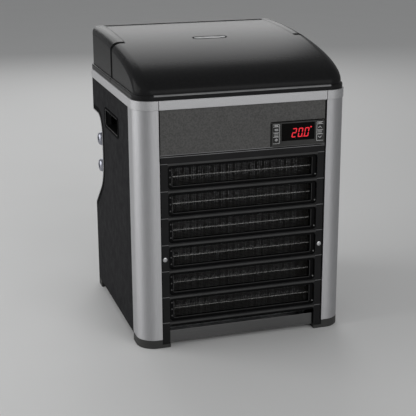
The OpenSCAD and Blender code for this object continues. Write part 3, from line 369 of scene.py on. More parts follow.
def dress(obj, body, slot, material=None, stands_for=()):
    """Gives a new piece its material, the slot's unless another is named, and its body, and hides the nodes
    that it stands for.
    """
    wear(obj, material or slot)
    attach(obj, body)
    for node in stands_for:
        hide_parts(node)


def rounded_node(node, width):
    """A copy of a node with its sharp edges rounded, shown in the node's place."""
    bm = bmesh.new()
    bm.from_mesh(frame["nodes"][node].data)
    bmesh.ops.remove_doubles(bm, verts=bm.verts, dist=NODE_MERGE * MM)
    bmesh.ops.dissolve_limit(bm, angle_limit=math.radians(NODE_FLAT), verts=bm.verts, edges=bm.edges)
    obj = soften(make_object(node + "_edges", bm), width)
    dress(obj, NODE_BODY[node], NODE_SLOT[node], finish_of(node), [node])


def box_mm(node):
    """The node's box at rest, as its low and high corners in millimetres."""
    return [[c / MM for c in corner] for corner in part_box(node)]


def arc(centre, radius, start, end, steps):
    """Points on an arc, both ends included. Angles in degrees."""
    turns = [math.radians(start + (end - start) * i / steps) for i in range(steps + 1)]
    return [(centre[0] + radius * math.cos(a), centre[1] + radius * math.sin(a)) for a in turns]


def circle(centre, radius, steps):
    return arc(centre, radius, 0, 360, steps)[:-1]


def rounded_outline(width, depth, radius, centre=(0, 0), steps=8):
    """Points of a rounded rectangle, counter-clockwise."""
    points = []
    for quarter, (sx, sy) in enumerate(((1, 1), (-1, 1), (-1, -1), (1, -1))):
        corner = (centre[0] + sx * (width / 2 - radius), centre[1] + sy * (depth / 2 - radius))
        points += arc(corner, radius, 90 * quarter, 90 * (quarter + 1), steps)
    return points


def at_depth(pair, depth, axis):
    """The point that has depth on the axis, and the pair on the two others."""
    place = list(pair)
    place.insert(axis, depth)
    return place


def add_band(bm, one, two):
    """Faces between two closed loops of vertices."""
    count = len(one)
    for i in range(count):
        bm.faces.new((one[i], one[(i + 1) % count], two[(i + 1) % count], two[i]))


def add_prism(bm, outline, low, high, axis):
    """Adds an outline extruded along the axis, from low to high."""
    first, second = [[bm.verts.new(Vector(at_depth(pair, depth, axis)) * MM) for pair in outline]
                     for depth in (low, high)]
    bm.faces.new(first[::-1])
    bm.faces.new(second)
    add_band(bm, first, second)


def add_block(bm, corner, opposite):
    (x0, x1), (y0, y1), (z0, z1) = [sorted(pair) for pair in zip(corner, opposite)]
    add_prism(bm, [(x0, y0), (x1, y0), (x1, y1), (x0, y1)], z0, z1, 2)


def add_loft(bm, rings, closed=False):
    """Skins rings of equal count. The ends are capped unless the loft is closed on itself."""
    loops = [[bm.verts.new(Vector(p) * MM) for p in ring] for ring in rings]
    for one, two in zip(loops, loops[1:] + loops[:1] if closed else loops[1:]):
        add_band(bm, one, two)
    if not closed:
        bm.faces.new(loops[0][::-1])
        bm.faces.new(loops[-1])


def add_turned(bm, profile, centre, axis, steps, closed=False):
    """Adds a turned form. profile holds (distance along the axis, radius), and is closed for a tube."""
    rings = [[[c + p for c, p in zip(centre, at_depth(pair, along, axis))]
              for pair in circle((0, 0), radius, steps)] for along, radius in profile]
    add_loft(bm, rings, closed)


def add_line(bm, points, width, low, high):
    """Adds a polyline in x and z as flat bars, between two depths in y."""
    for (x0, z0), (x1, z1) in zip(points, points[1:]):
        length = math.hypot(x1 - x0, z1 - z0)
        ux, uz = (x1 - x0) / length * width / 2, (z1 - z0) / length * width / 2
        add_prism(bm, [(x0 - ux + uz, z0 - uz - ux), (x1 + ux + uz, z1 + uz - ux),
                       (x1 + ux - uz, z1 + uz + ux), (x0 - ux - uz, z0 - uz + ux)], low, high, 1)


def extruded(name, outline, low, high, axis=2):
    bm = bmesh.new()
    add_prism(bm, outline, low, high, axis)
    return solid(name, bm)


def lofted(name, rings, closed=False):
    bm = bmesh.new()
    add_loft(bm, rings, closed)
    return solid(name, bm)


def blocks(name, pairs):
    """Object of blocks, each given by two opposite corners."""
    bm = bmesh.new()
    for corner, opposite in pairs:
        add_block(bm, corner, opposite)
    return solid(name, bm)


def joined(objects, name):
    """Joins objects into one mesh."""
    bm = bmesh.new()
    for obj in objects:
        bm.from_mesh(obj.data)
        bpy.data.objects.remove(obj)
    return make_object(name, bm)


def cut_with(obj, other, operation):
    """Boolean of obj with other, which is used up."""
    step = obj.modifiers.new("cut", "BOOLEAN")
    step.operation = operation
    step.solver = "EXACT"
    step.object = other
    graph = bpy.context.evaluated_depsgraph_get()
    mesh = bpy.data.meshes.new_from_object(obj.evaluated_get(graph))
    obj.modifiers.clear()
    obj.data = mesh
    bpy.data.objects.remove(other)
    return obj


def clean(obj):
    """Removes the slivers that a boolean leaves."""
    bm = bmesh.new()
    bm.from_mesh(obj.data)
    bmesh.ops.remove_doubles(bm, verts=bm.verts, dist=CUT_MERGE * MM)
    bmesh.ops.dissolve_degenerate(bm, edges=bm.edges, dist=CUT_MERGE * MM)
    bm.to_mesh(obj.data)
    bm.free()
    return obj


# Hood: the same form as the frame's, in many more steps

HOOD_Z = 346.0
HOOD_H = 62.0
HOOD_TOP = HOOD_Z + HOOD_H
HOOD_X = 146.0
HOOD_FRONT = -146.0
HOOD_REAR = 147.0
HOOD_MIDDLE = (0, (HOOD_FRONT + HOOD_REAR) / 2)
HOOD_WALL = 2.8
# The upright part of the front under the curve, and the level strip behind the curve
HOOD_WALL_H = 9.0
HOOD_FLAT = 7.0
# Radii of the corners in plan, of the turned side edges and of the rear edge
HOOD_CORNER_R = 22.0
HOOD_EDGE_R = 12.0
HOOD_REAR_R = 6.0
# Share of the rear edge's radius that is gone where the side edge has turned down
EDGE_SHARE = 0.8
# Steps over the curve, round the rear edge and round a side edge
HOOD_STEPS = 56
HOOD_REAR_STEPS = 10
HOOD_TURNS = 12
# Points of a profile: one at each foot, and those of the curve and of the rear edge
HOOD_POINTS = 1 + (HOOD_STEPS + 1) + (HOOD_REAR_STEPS + 1) + 1
# Bead round the foot: height, how far it stands out, radius and steps of its top edge, chamfer of its
# bottom edge, and steps round a corner in plan
LIP_H = 7.0
LIP_OUT = 2.4
LIP_ROUND = 1.6
LIP_ROUND_STEPS = 6
LIP_FOOT = 0.4
LIP_STEPS = 14
# Split: half the seam, the rear frame's arms, the lid's tongue between them, the slot behind the tongue,
# and the gap under the lid
SEAM_Y = 1.0
ARM_X = 126.3
TONGUE_X = 125.7
SLOT_FRONT = 133.9
SLOT_REAR = 138.1
LID_LIFT = 0.3
# How far a cutting form reaches past a surface, and a distance that lies outside the hood all round
CUT = 1.0
FAR = 160.0
LID_PLAN = [(-FAR, -FAR), (FAR, -FAR), (FAR, -SEAM_Y), (TONGUE_X, -SEAM_Y), (TONGUE_X, SLOT_FRONT),
            (-TONGUE_X, SLOT_FRONT), (-TONGUE_X, -SEAM_Y), (-FAR, -SEAM_Y)]
REAR_PLAN = [(-FAR, SEAM_Y), (-ARM_X, SEAM_Y), (-ARM_X, SLOT_REAR), (ARM_X, SLOT_REAR),
             (ARM_X, SEAM_Y), (FAR, SEAM_Y), (FAR, FAR), (-FAR, FAR)]
# Bevel of the split's edges
HOOD_EDGE = 0.5
# Badge: its size, its place as a share of the hood's depth, the pocket it lies in, and the black rim round
# that, which paints the pocket's shade
BADGE_W = 46.5
BADGE_H = 9.0
BADGE_T = 0.8
BADGE_SHARE = 0.519
POCKET_GAP = 0.3
POCKET_R = BADGE_H / 2 + 0.25
RIM_GAP = 0.35
RIM_W = 2.2
RIM_LOW = -0.3
RIM_HIGH = 0.14
# Black strips on both sides of the side seams, which paint the seams' shade: how far they reach from the
# seam's middle, how far they stand out of the hood and reach into it, and where they start beside the arm
# and above the lip
SEAM_SHADE_W = 3.6
SEAM_SHADE_T = 0.15
SEAM_SHADE_DEPTH = 0.4
SEAM_SHADE_X = ARM_X + 0.4
SEAM_SHADE_Z = HOOD_Z + LIP_H + 0.3
# Gap between a strip of painted shade and the face beside it
SHADE_CLEAR = 0.1
# Channel along the lid's rear edge. Its black strip, which paints the slot's shade, has a gap at its ends
# and front, is let into the channel's floor, and stays under the hood's top
CHANNEL_X = 124.5
CHANNEL_FRONT = 125.6
CHANNEL_FLOOR = HOOD_TOP - 1.2
REAR_SHADE_GAP = 0.2
REAR_SHADE_SUNK = 0.1
REAR_SHADE_TOP = HOOD_TOP - 0.25
# Bead along the lid's foot, whose light grey paints the highlight on the lip's top edge, as (y, z) from the
# lip's front face and top
BEAD_X = 123.5
BEAD_PROFILE = ((0.4, -2.0), (-0.12, -1.9), (-0.12, -1.3), (0.5, -0.35), (1.4, 0.12), (2.2, 0.12),
                (2.2, -0.5))


def hood_profile(k, a, t):
    """Point k of the hood's profile, set in by t, where the side edge has turned by a: y, z, plan radius."""
    f = 1 - math.cos(a)
    dy = t + (HOOD_CORNER_R - t) * f
    dz = t + (HOOD_EDGE_R - t) * f
    rear_r = (HOOD_REAR_R - t) * (1 - EDGE_SHARE * f)
    front, rear = HOOD_FRONT + dy, HOOD_REAR - dy

    def side_r(share):
        return HOOD_CORNER_R + (HOOD_EDGE_R - HOOD_CORNER_R) * share

    if k == 0:
        return front, HOOD_Z, HOOD_CORNER_R
    if k == HOOD_POINTS - 1:
        return rear, HOOD_Z, HOOD_CORNER_R
    if k <= HOOD_STEPS + 1:
        b = math.radians(90 * (k - 1) / HOOD_STEPS)
        return (front + (rear - rear_r - HOOD_FLAT - front) * (1 - math.cos(b)),
                HOOD_Z + HOOD_WALL_H + (HOOD_H - HOOD_WALL_H - dz) * math.sin(b), side_r(math.sin(b)))
    b = math.radians(90 - 90 * (k - HOOD_STEPS - 2) / HOOD_REAR_STEPS)
    return (rear - rear_r + rear_r * math.cos(b),
            HOOD_TOP - dz - rear_r + rear_r * math.sin(b), side_r(math.sin(b)))


def hood_form(name, t, drop):
    """Closed form of the hood, set in by t and reaching down by drop."""
    quarter = [math.pi / 2 * j / HOOD_TURNS for j in range(HOOD_TURNS + 1)]
    rings = []
    for side, a in [(-1, a) for a in reversed(quarter)] + [(1, a) for a in quarter]:
        ring = []
        for k in range(HOOD_POINTS):
            y, z, r = hood_profile(k, a, t)
            low = drop if k in (0, HOOD_POINTS - 1) else 0
            ring.append((side * (HOOD_X - r + (r - t) * math.sin(a)), y, z - low))
        rings.append(ring)
    return lofted(name, rings)


def hood_lip():
    """Bead round the hood's foot, with a rounded top edge."""
    profile = [(-HOOD_WALL, 0), (LIP_OUT - LIP_FOOT, 0), (LIP_OUT, LIP_FOOT)]
    profile += arc((LIP_OUT - LIP_ROUND, LIP_H - LIP_ROUND), LIP_ROUND, 0, 90, LIP_ROUND_STEPS)
    profile += [(-HOOD_WALL, LIP_H)]
    rings = []
    for out, z in profile:
        outline = rounded_outline(2 * (HOOD_X + out), HOOD_REAR - HOOD_FRONT + 2 * out,
                                  HOOD_CORNER_R + out, HOOD_MIDDLE, LIP_STEPS)
        rings.append([(x, y, HOOD_Z + z) for x, y in outline])
    return lofted("hood_lip", rings, closed=True)


def hood_shell(name):
    """Hollow hood with the bead round its foot, before it is split."""
    shell = hood_form(name, 0, 0)
    cut_with(shell, hood_lip(), "UNION")
    return cut_with(shell, hood_form("hood_inside", HOOD_WALL, CUT), "DIFFERENCE")


def badge_place():
    """Matrix that turns and moves a flat form to the badge's place on the hood's curve."""
    length = HOOD_REAR - HOOD_REAR_R - HOOD_FLAT - HOOD_FRONT
    rise = HOOD_H - HOOD_WALL_H
    y = HOOD_FRONT + (HOOD_REAR - HOOD_FRONT) * BADGE_SHARE
    turn = math.acos((HOOD_FRONT + length - y) / length)
    place = Vector((0, y, HOOD_Z + HOOD_WALL_H + rise * math.sin(turn)))
    slope = math.atan(rise / (length * math.tan(turn)))
    return Matrix.Translation(place * MM) @ Matrix.Rotation(slope, 4, "X")


def badge_outline(grow, radius):
    return rounded_outline(BADGE_W + 2 * grow, BADGE_H + 2 * grow, radius)


def make_hood():
    """Lid and rear frame, each cut from a whole hood by its plan."""
    lid = hood_shell("hood_lid_shell")
    cut_with(lid, extruded("plan", LID_PLAN, HOOD_Z + LID_LIFT, HOOD_TOP + CUT), "INTERSECT")
    pocket = extruded("pocket", badge_outline(POCKET_GAP, POCKET_R), -BADGE_T, CUT)
    pocket.data.transform(badge_place())
    cut_with(lid, pocket, "DIFFERENCE")
    channel = blocks("channel", [((-CHANNEL_X, CHANNEL_FRONT, CHANNEL_FLOOR),
                                  (CHANNEL_X, SLOT_FRONT + CUT, HOOD_TOP + CUT))])
    cut_with(lid, channel, "DIFFERENCE")
    rear = hood_shell("hood_rear_shell")
    cut_with(rear, extruded("plan", REAR_PLAN, HOOD_Z, HOOD_TOP + CUT), "INTERSECT")
    for obj, body, node in ((lid, "lid", "hood_lid"), (rear, "cabinet", "hood_rear_frame")):
        soften(clean(obj), HOOD_EDGE, CURVED_ANGLE)
        dress(obj, body, "hood_black", stands_for=[node])


def make_badge_rim():
    """Black rim round the badge's pocket, which paints the pocket's shade."""
    outer = badge_outline(RIM_GAP + RIM_W, POCKET_R + RIM_W)
    inner = badge_outline(RIM_GAP, POCKET_R)
    levels = ((outer, RIM_LOW), (outer, RIM_HIGH), (inner, RIM_HIGH), (inner, RIM_LOW))
    rim = lofted("lid_badge_shade_rim", [[(x, y, z) for x, y in outline] for outline, z in levels], closed=True)
    rim.data.transform(badge_place())
    dress(rim, "lid", "grommet_rubber", "seal_black")


def make_hood_shade_strips():
    """Black strips that paint the shade beside the side seams and along the lid's rear edge, and the lid's
    foot bead, whose light grey paints the lip's highlight.
    """
    # Black strips beside the side seams paint the seams' shade
    for name, body, sy in (("lid_seam_shade", "lid", -1), ("rear_seam_shade", "cabinet", 1)):
        near, end = sy * (SEAM_Y + SHADE_CLEAR), sy * (SEAM_Y + SEAM_SHADE_W)
        shade_strip = hood_form(name, -SEAM_SHADE_T, 0)
        cut_with(shade_strip, hood_form("inside", SEAM_SHADE_DEPTH, CUT), "DIFFERENCE")
        slabs = [((sx * SEAM_SHADE_X, near, SEAM_SHADE_Z), (sx * FAR, end, HOOD_TOP + CUT)) for sx in SIDES]
        cut_with(shade_strip, blocks("slab", slabs), "INTERSECT")
        dress(clean(shade_strip), body, "grommet_rubber", "seal_black")
    # Black strip in the rear channel, which paints the shade of the slot
    x = CHANNEL_X - REAR_SHADE_GAP
    shade_strip = blocks("lid_rear_shade", [((-x, CHANNEL_FRONT + REAR_SHADE_GAP, CHANNEL_FLOOR - REAR_SHADE_SUNK),
                                     (x, SLOT_FRONT - SHADE_CLEAR, REAR_SHADE_TOP))])
    dress(soften(shade_strip, SHADE_EDGE), "lid", "grommet_rubber", "seal_black")
    # The foot bead's light grey paints the highlight along the lip's top edge
    front, top = HOOD_FRONT - LIP_OUT, HOOD_Z + LIP_H
    outline = [(front + y, top + z) for y, z in BEAD_PROFILE]
    bead = extruded("lid_foot_bead", outline, -BEAD_X, BEAD_X, 0)
    dress(soften(bead, FINE_EDGE), "lid", "hood_black", "lip_grey")


# Front: filter, fins, display, keys and grille

# How deep a thin piece is let into the face that carries it
SUNK = 0.2

# The grille's openings from the top down. All but the last show a window of the filter
OPENINGS = 7
PITCH = 37.5
FIRST_TOP = 258.0
OPENING_H = 32.7
WINDOW_W = 199.0
WINDOW_H = 24.7
WINDOW_MIDDLES = [FIRST_TOP - i * PITCH - OPENING_H / 2 for i in range(OPENINGS - 1)]

# Net: pitch and thickness of its wires, and from and to which depth the upright and level ones lie
NET_PITCH = 2.0
NET_WIRE = 0.42
NET_UPRIGHT = (0.1, 0.4)
NET_LEVEL = (0.0, 0.3)


def make_net():
    """Woven net in the windows of the filter frame, and the net's plain bars between them."""
    low, high = box_mm("filter_net")
    face, back = low[1], high[1]
    columns, rows = round(WINDOW_W / NET_PITCH), round(WINDOW_H / NET_PITCH)
    side, half = WINDOW_W / 2, NET_WIRE / 2
    spans = [(z + WINDOW_H / 2, z - WINDOW_H / 2) for z in WINDOW_MIDDLES]
    bm = bmesh.new()
    for top, foot in spans:
        for k in range(columns + 1):
            x = -side + WINDOW_W * k / columns
            add_block(bm, (x - half, face + NET_UPRIGHT[0], foot), (x + half, face + NET_UPRIGHT[1], top))
        for k in range(rows + 1):
            z = foot + WINDOW_H * k / rows
            add_block(bm, (-side, face + NET_LEVEL[0], z - half), (side, face + NET_LEVEL[1], z + half))
    tops = [high[2]] + [foot for _, foot in spans]
    bottoms = [top for top, _ in spans] + [low[2]]
    for top, bottom in zip(tops, bottoms):
        add_block(bm, (low[0], face, bottom), (high[0], back, top))
    for s in SIDES:
        add_block(bm, (s * side, face, low[2]), (s * high[0], back, high[2]))
    dress(solid("filter_net_woven", bm), "cabinet", "net_black", stands_for=["filter_net"])


FIN_PITCH = 2.5
FIN_T = 0.3


def make_fins():
    """Stack of thin upright fins."""
    low, high = box_mm("condenser_fins")
    count = int(high[0] // FIN_PITCH)
    places = [k * FIN_PITCH for k in range(-count, count + 1)]
    fins = blocks("condenser_fin_stack",
                  [((x - FIN_T / 2, *low[1:]), (x + FIN_T / 2, *high[1:])) for x in places])
    dress(fins, "cabinet", "fin_aluminium", stands_for=["condenser_fins"])


# Stay wire just under the middle of a window, and the sill and jambs of the filter frame round it, in light
# greys that paint the tubes' highlight line and the frame's lit edges
WIRE_R = 0.55
WIRE_DROP = 0.6
WIRE_STEPS = 10
SILL_H = 0.9
SILL_GAP = 0.1
SILL_PROUD = 0.1
SILL_SUNK = 0.5
JAMB_W = 0.8
JAMB_SHORT = 0.4


def make_wires():
    """Stay wire behind the net in every window, light grey to paint the highlight line of the condenser's
    tubes, and the sill and jambs in a grey that paints their highlights.
    """
    back = box_mm("filter_net")[1][1]
    face = box_mm("filter_frame")[0][1]
    near, far = face - SILL_PROUD, face + SILL_SUNK
    side = WINDOW_W / 2
    wires, sills = bmesh.new(), bmesh.new()
    for z in WINDOW_MIDDLES:
        centre = (0, back + WIRE_R, z - WIRE_DROP)
        add_turned(wires, [(-side, WIRE_R), (side, WIRE_R)], centre, 0, WIRE_STEPS)
        foot = z - WINDOW_H / 2
        add_block(sills, (-side, near, foot - SILL_GAP - SILL_H), (side, far, foot - SILL_GAP))
        for x in (-side - SILL_GAP - JAMB_W, side + SILL_GAP):
            add_block(sills, (x, near, foot + JAMB_SHORT), (x + JAMB_W, far, foot + WINDOW_H - JAMB_SHORT))
    dress(solid("filter_wires", wires), "cabinet", "screw_steel", "wire_grey")
    dress(solid("filter_sills", sills), "cabinet", "filter_plastic", "rib_grey")


# Filter clips, in greys that paint the glints at the windows' ends: x, heights above a window's middle,
# profile as (y from the frame's face, radius), finish
CLIPS = {
    "left": (-102.6, (-9.5, 0.0, 9.5), ((0.2, 1.1), (-0.3, 1.1), (-0.7, 0.6)), "clip_grey"),
    "right": (104.8, (-12.2,), ((0.2, 1.0), (-0.5, 1.0), (-0.9, 0.6)), "stud_grey"),
}
CLIP_STEPS = 16


def make_clips():
    """Small clips that hold the filter frame, at the ends of every window, in greys that paint glints."""
    face = box_mm("filter_frame")[0][1]
    for side, (x, heights, profile, finish) in CLIPS.items():
        bm = bmesh.new()
        for z in WINDOW_MIDDLES:
            for dz in heights:
                add_turned(bm, profile, (x, face, z + dz), 1, CLIP_STEPS)
        dress(solid("filter_clips_" + side, bm), "cabinet", "filter_plastic", finish)


# Display: the bars of each digit, and the reading, whose foot is placed from the controller's middle
SEGMENTS = {"0": "abcdef", "2": "abged"}
READING = "200"
READING_FOOT = (-9.9, -5.0)
DIGIT_W = 6.4
DIGIT_H = 12.6
DIGIT_STEP = 9.0
DIGIT_SLANT = math.tan(math.radians(9))
BAR_T = 1.3
BAR_GAP = 0.35
# Decimal point from the last digit's foot, and degree point from the end of the reading's top
POINT_R = 0.75
POINT_PLACE = (-1.0, 0.7)
DEGREE_R = 1.1
DEGREE_PLACE = (-0.6, 0.4)
DOT_STEPS = 16
# How far the display's layers stand out of the bezel
MASK_PROUD = 0.08
STRIP_PROUD = 0.04
DIGIT_PROUD = 0.14
# The mask's foot and top above the window's, and how far the strip under the mask starts below the window
MASK_RISE = 2.4
MASK_TOP = MASK_RISE + 0.6
STRIP_DROP = 0.3


def segment_outline(name):
    """Outline of one bar of a seven-segment digit, with pointed ends, from the digit's foot."""
    w, h, g, half = DIGIT_W, DIGIT_H, BAR_GAP, BAR_T / 2
    flat = {"a": h - half, "g": h / 2, "d": half}
    if name in flat:
        z = flat[name]
        return [(g, z), (half + g, z - half), (w - half - g, z - half), (w - g, z),
                (w - half - g, z + half), (half + g, z + half)]
    x = half if name in "ef" else w - half
    low, high = (h / 2 + g, h - g) if name in "bf" else (g, h / 2 - g)
    return [(x, low), (x + half, low + half), (x + half, high - half), (x, high),
            (x - half, high - half), (x - half, low + half)]


def make_display():
    """Black mask over the glass, a strip under it, and the lit reading on its face."""
    (left, _, bottom), (right, _, top) = box_mm("display_window")
    low, high = box_mm("controller_bezel")
    face = low[1]
    mask = blocks("display_mask", [((left, face - MASK_PROUD, bottom + MASK_RISE),
                                    (right, face + SUNK, top + MASK_TOP))])
    dress(mask, "cabinet", "display_glass")
    strip = blocks("display_sill", [((left, face - STRIP_PROUD, bottom - STRIP_DROP),
                                     (right, face + SUNK, bottom + MASK_RISE))])
    dress(strip, "cabinet", "black_gloss")
    start = (low[0] + high[0]) / 2 + READING_FOOT[0]
    foot = (low[2] + high[2]) / 2 + READING_FOOT[1]
    outlines = [[(start + i * DIGIT_STEP + x + z * DIGIT_SLANT, foot + z) for x, z in segment_outline(name)]
                for i, digit in enumerate(READING) for name in SEGMENTS[digit]]
    last = start + (len(READING) - 1) * DIGIT_STEP
    end = last + DIGIT_STEP + DIGIT_H * DIGIT_SLANT
    outlines.append(circle((last + POINT_PLACE[0], foot + POINT_PLACE[1]), POINT_R, DOT_STEPS))
    outlines.append(circle((end + DEGREE_PLACE[0], foot + DIGIT_H + DEGREE_PLACE[1]), DEGREE_R, DOT_STEPS))
    bm = bmesh.new()
    for outline in outlines:
        add_prism(bm, outline, face - DIGIT_PROUD, face, 1)
    dress(solid("display_digits", bm), "cabinet", "display_glass", "digit_glow")


# Signs printed on the keys, as lines in (x, z) from a key's middle
KEY_SIGNS = {
    "key_set": [[(-2.2, 0.9), (2.2, 0.9)], [(-2.2, -0.9), (2.2, -0.9)]],
    "key_standby": [[(-1.4, 1.0), (-1.7, -0.4), (0, -1.5), (1.7, -0.4), (1.4, 1.0)], [(0, 1.7), (0, 0)]],
    "key_up": [[(-2.0, -1.1), (0, 1.3), (2.0, -1.1)]],
    "key_down": [[(-2.0, 1.1), (0, -1.3), (2.0, 1.1)]],
}
KEY_LINE = 0.75
# Upper and lower key of each pair, and the side in x on which the pair's printed frame stands
KEY_PAIRS = ((("key_set", "key_standby"), 1), (("key_up", "key_down"), -1))
# Widths of the frame's upright and of its rungs, their gaps to the keys, and its ends past the keys
FRAME_LINE = 0.6
RUNG_LINE = 0.5
KEY_GAP = 0.9
KEY_TOP_GAP = 1.1
FRAME_RISE = 4.0
FRAME_DROP = 2.0
# Short marks between a pair's keys, and above its upper key: number or heights, and half length
MARKS_BETWEEN = 3
MARK_X = 2.6
TOP_MARKS = (1.9, 3.1)
TOP_MARK_X = 2.2
PRINT_PROUD = 0.05


def make_key_prints():
    """Printed signs on the keys and a fine frame round each pair."""
    for key, lines in KEY_SIGNS.items():
        low, high = box_mm(key)
        cx, cz = (low[0] + high[0]) / 2, (low[2] + high[2]) / 2
        bm = bmesh.new()
        for line in lines:
            add_line(bm, [(cx + x, cz + z) for x, z in line], KEY_LINE, low[1] - PRINT_PROUD, low[1] + SUNK)
        dress(solid(key + "_sign", bm), key, "key_rubber", "mark_white")
    face = box_mm("controller_bezel")[0][1]
    depths = (face - PRINT_PROUD, face + SUNK)
    bm = bmesh.new()
    for pair, inner in KEY_PAIRS:
        (upper_low, upper_high), (lower_low, lower_high) = [box_mm(key) for key in pair]
        middle = (upper_low[0] + upper_high[0]) / 2
        half = (upper_high[0] - upper_low[0]) / 2 + KEY_GAP
        edge, back = middle + inner * half, middle - inner * half
        top, bottom = upper_high[2] + FRAME_RISE, lower_low[2] - FRAME_DROP
        add_line(bm, [(edge, bottom), (edge, top)], FRAME_LINE, *depths)
        for z in (top, upper_high[2] + KEY_TOP_GAP, upper_low[2] - KEY_GAP, lower_high[2] + KEY_GAP, bottom):
            add_line(bm, [(edge, z), (back, z)], RUNG_LINE, *depths)
        gap = (upper_low[2] - lower_high[2]) / (MARKS_BETWEEN + 1)
        marks = [(MARK_X, lower_high[2] + gap * (k + 1)) for k in range(MARKS_BETWEEN)]
        marks += [(TOP_MARK_X, upper_high[2] + rise) for rise in TOP_MARKS]
        for x, z in marks:
            add_line(bm, [(middle - x, z), (middle + x, z)], FRAME_LINE, *depths)
    dress(solid("key_frames", bm), "cabinet", "black_gloss", "mark_grey")


# Light strips that paint the highlights on the mouldings' edges: gap at their ends, and heights from the
# panel's foot and the grille's top
HIGHLIGHT_END = 0.6
HIGHLIGHT_PROUD = 0.2
PANEL_HIGHLIGHT = (0.5, 1.4)
GRILLE_HIGHLIGHT = (-1.6, -0.6)
# Black strip that paints the shade of the gap between grille and panel: gap at its ends, and how far it
# reaches over each of the two
SHADE_PROUD = 0.1
SHADE_END = 0.3
SHADE_OVER_GRILLE = 0.5
SHADE_OVER_PANEL = 0.4
# Black strips that paint the shade of the gaps beside the posts: width, how far they stand out, and how far
# over the grille's foot they start
POST_SHADE_W = 1.3
POST_SHADE_PROUD = 0.12
POST_SHADE_FOOT = 8
# Black strip that paints the shade round the controller, narrower under it
BEZEL_SHADE_W = 1.1
BEZEL_SHADE_LOW = 0.8 * BEZEL_SHADE_W


def make_front_edges():
    """Light strips that paint the highlights on the front mouldings' edges, and black strips that paint the
    shade of the gaps beside the posts, under the panel and round the controller.
    """
    panel_low, panel_high = box_mm("control_panel")
    low, high = box_mm("front_grille")
    face = low[1]

    def strip(x0, z0, x1, z1, proud=SHADE_PROUD):
        return (x0, face - proud, z0), (x1, face + SUNK, z1)

    # Light strips paint the highlights on the panel's foot and the grille's top edge
    edges = blocks("moulding_highlights", [
        strip(panel_low[0] + HIGHLIGHT_END, panel_low[2] + PANEL_HIGHLIGHT[0],
              panel_high[0] - HIGHLIGHT_END, panel_low[2] + PANEL_HIGHLIGHT[1], HIGHLIGHT_PROUD),
        strip(low[0] + HIGHLIGHT_END, high[2] + GRILLE_HIGHLIGHT[0],
              high[0] - HIGHLIGHT_END, high[2] + GRILLE_HIGHLIGHT[1], HIGHLIGHT_PROUD)])
    dress(soften(edges, FINE_EDGE), "cabinet", "black_plastic", "edge_grey")
    shade_strips = [strip(panel_low[0] + SHADE_END, high[2] - SHADE_OVER_GRILLE,
                   panel_high[0] - SHADE_END, panel_low[2] + SHADE_OVER_PANEL)]
    shade_strips += [strip(sx * (high[0] - POST_SHADE_W), low[2] + POST_SHADE_FOOT,
                    sx * high[0], panel_high[2] - SHADE_CLEAR, POST_SHADE_PROUD) for sx in SIDES]
    (left, _, bottom), (right, _, top) = box_mm("controller_bezel")
    under, over = bottom - BEZEL_SHADE_LOW, top + BEZEL_SHADE_W
    shade_strips += [strip(left - BEZEL_SHADE_W, under, left, over), strip(right, under, right + BEZEL_SHADE_W, over),
              strip(left, top, right, over), strip(left, under, right, bottom)]
    dress(blocks("front_shade_strips", shade_strips), "cabinet", "grommet_rubber", "seal_black")


# Drip ledge over an opening, as (y, z) from the grille's face and the opening's top, and the ridge that
# goes on from its end to near the grille's side. Both are lighter than the grille to paint their highlights
LEDGE_H = 3.1
LEDGE_X = 106.6
LEDGE_PROFILE = ((-0.5, 0.3), (-0.5, 0.8), (-0.1, LEDGE_H), (0.3, LEDGE_H), (0.3, 0.3))
RIDGE_H = 0.7
RIDGE_PROUD = 0.25
RIDGE_END = 0.4


def make_grille_ribs():
    """Drip ledge over every opening, ending in a fine ridge across the stiles, both in lighter greys that
    paint their highlights.
    """
    low, high = box_mm("front_grille")
    face = low[1]
    ledges, ridges = bmesh.new(), bmesh.new()
    for i in range(OPENINGS):
        z = FIRST_TOP - i * PITCH
        add_prism(ledges, [(face + dy, z + dz) for dy, dz in LEDGE_PROFILE], -LEDGE_X, LEDGE_X, 0)
        for sx in SIDES:
            add_block(ridges, (sx * LEDGE_X, face - RIDGE_PROUD, z + LEDGE_H - RIDGE_H),
                      (sx * (high[0] - RIDGE_END), face + SUNK, z + LEDGE_H))
    for bm, name, finish in ((ledges, "grille_ledges", "rib_grey"), (ridges, "grille_ridges", "edge_grey")):
        dress(soften(solid(name, bm), FINE_EDGE), "cabinet", "black_plastic", finish)


# Sides: connector notch, grip cups and union nuts

# The notch's edge in (y, z): an arc down from its top, a bulge that ends at an angle, and a straight line
NOTCH_REAR = 123.5
NOTCH_TOP = ((90.5, 257.0), 27.5)
NOTCH_TOP_STEPS = 12
NOTCH_BULGE = ((118.0, 215.0), 55.0)
NOTCH_BULGE_END = 230
NOTCH_BULGE_STEPS = 10
# Pieces along it, a light bead that paints the rim's highlight and a black band that paints the shade beside
# it: inner and outer distance from the edge, how far they stand out, and finish
NOTCH_PIECES = {
    "recess_bead": (0.0, 1.2, 0.92, "bead_grey"),
    "recess_shade_band": (1.3, 8.5, 0.2, "seal_black"),
}
# How deep the pieces on the sides are let into the panels
SIDE_SUNK = 0.3


def notch_path(grow):
    """Edge of the connector notch on the left side, grown outwards, from the top rear round to the foot."""
    (centre, radius), (bulge_centre, bulge_radius) = NOTCH_TOP, NOTCH_BULGE
    points = [(NOTCH_REAR, centre[1] + radius + grow)]
    points += arc(centre, radius + grow, 90, 180, NOTCH_TOP_STEPS)
    points += arc(bulge_centre, bulge_radius + grow, 180, NOTCH_BULGE_END, NOTCH_BULGE_STEPS)
    y, z = points[-1]
    return points + [(NOTCH_REAR, z - (NOTCH_REAR - y) / math.tan(math.radians(NOTCH_BULGE_END - 180)))]


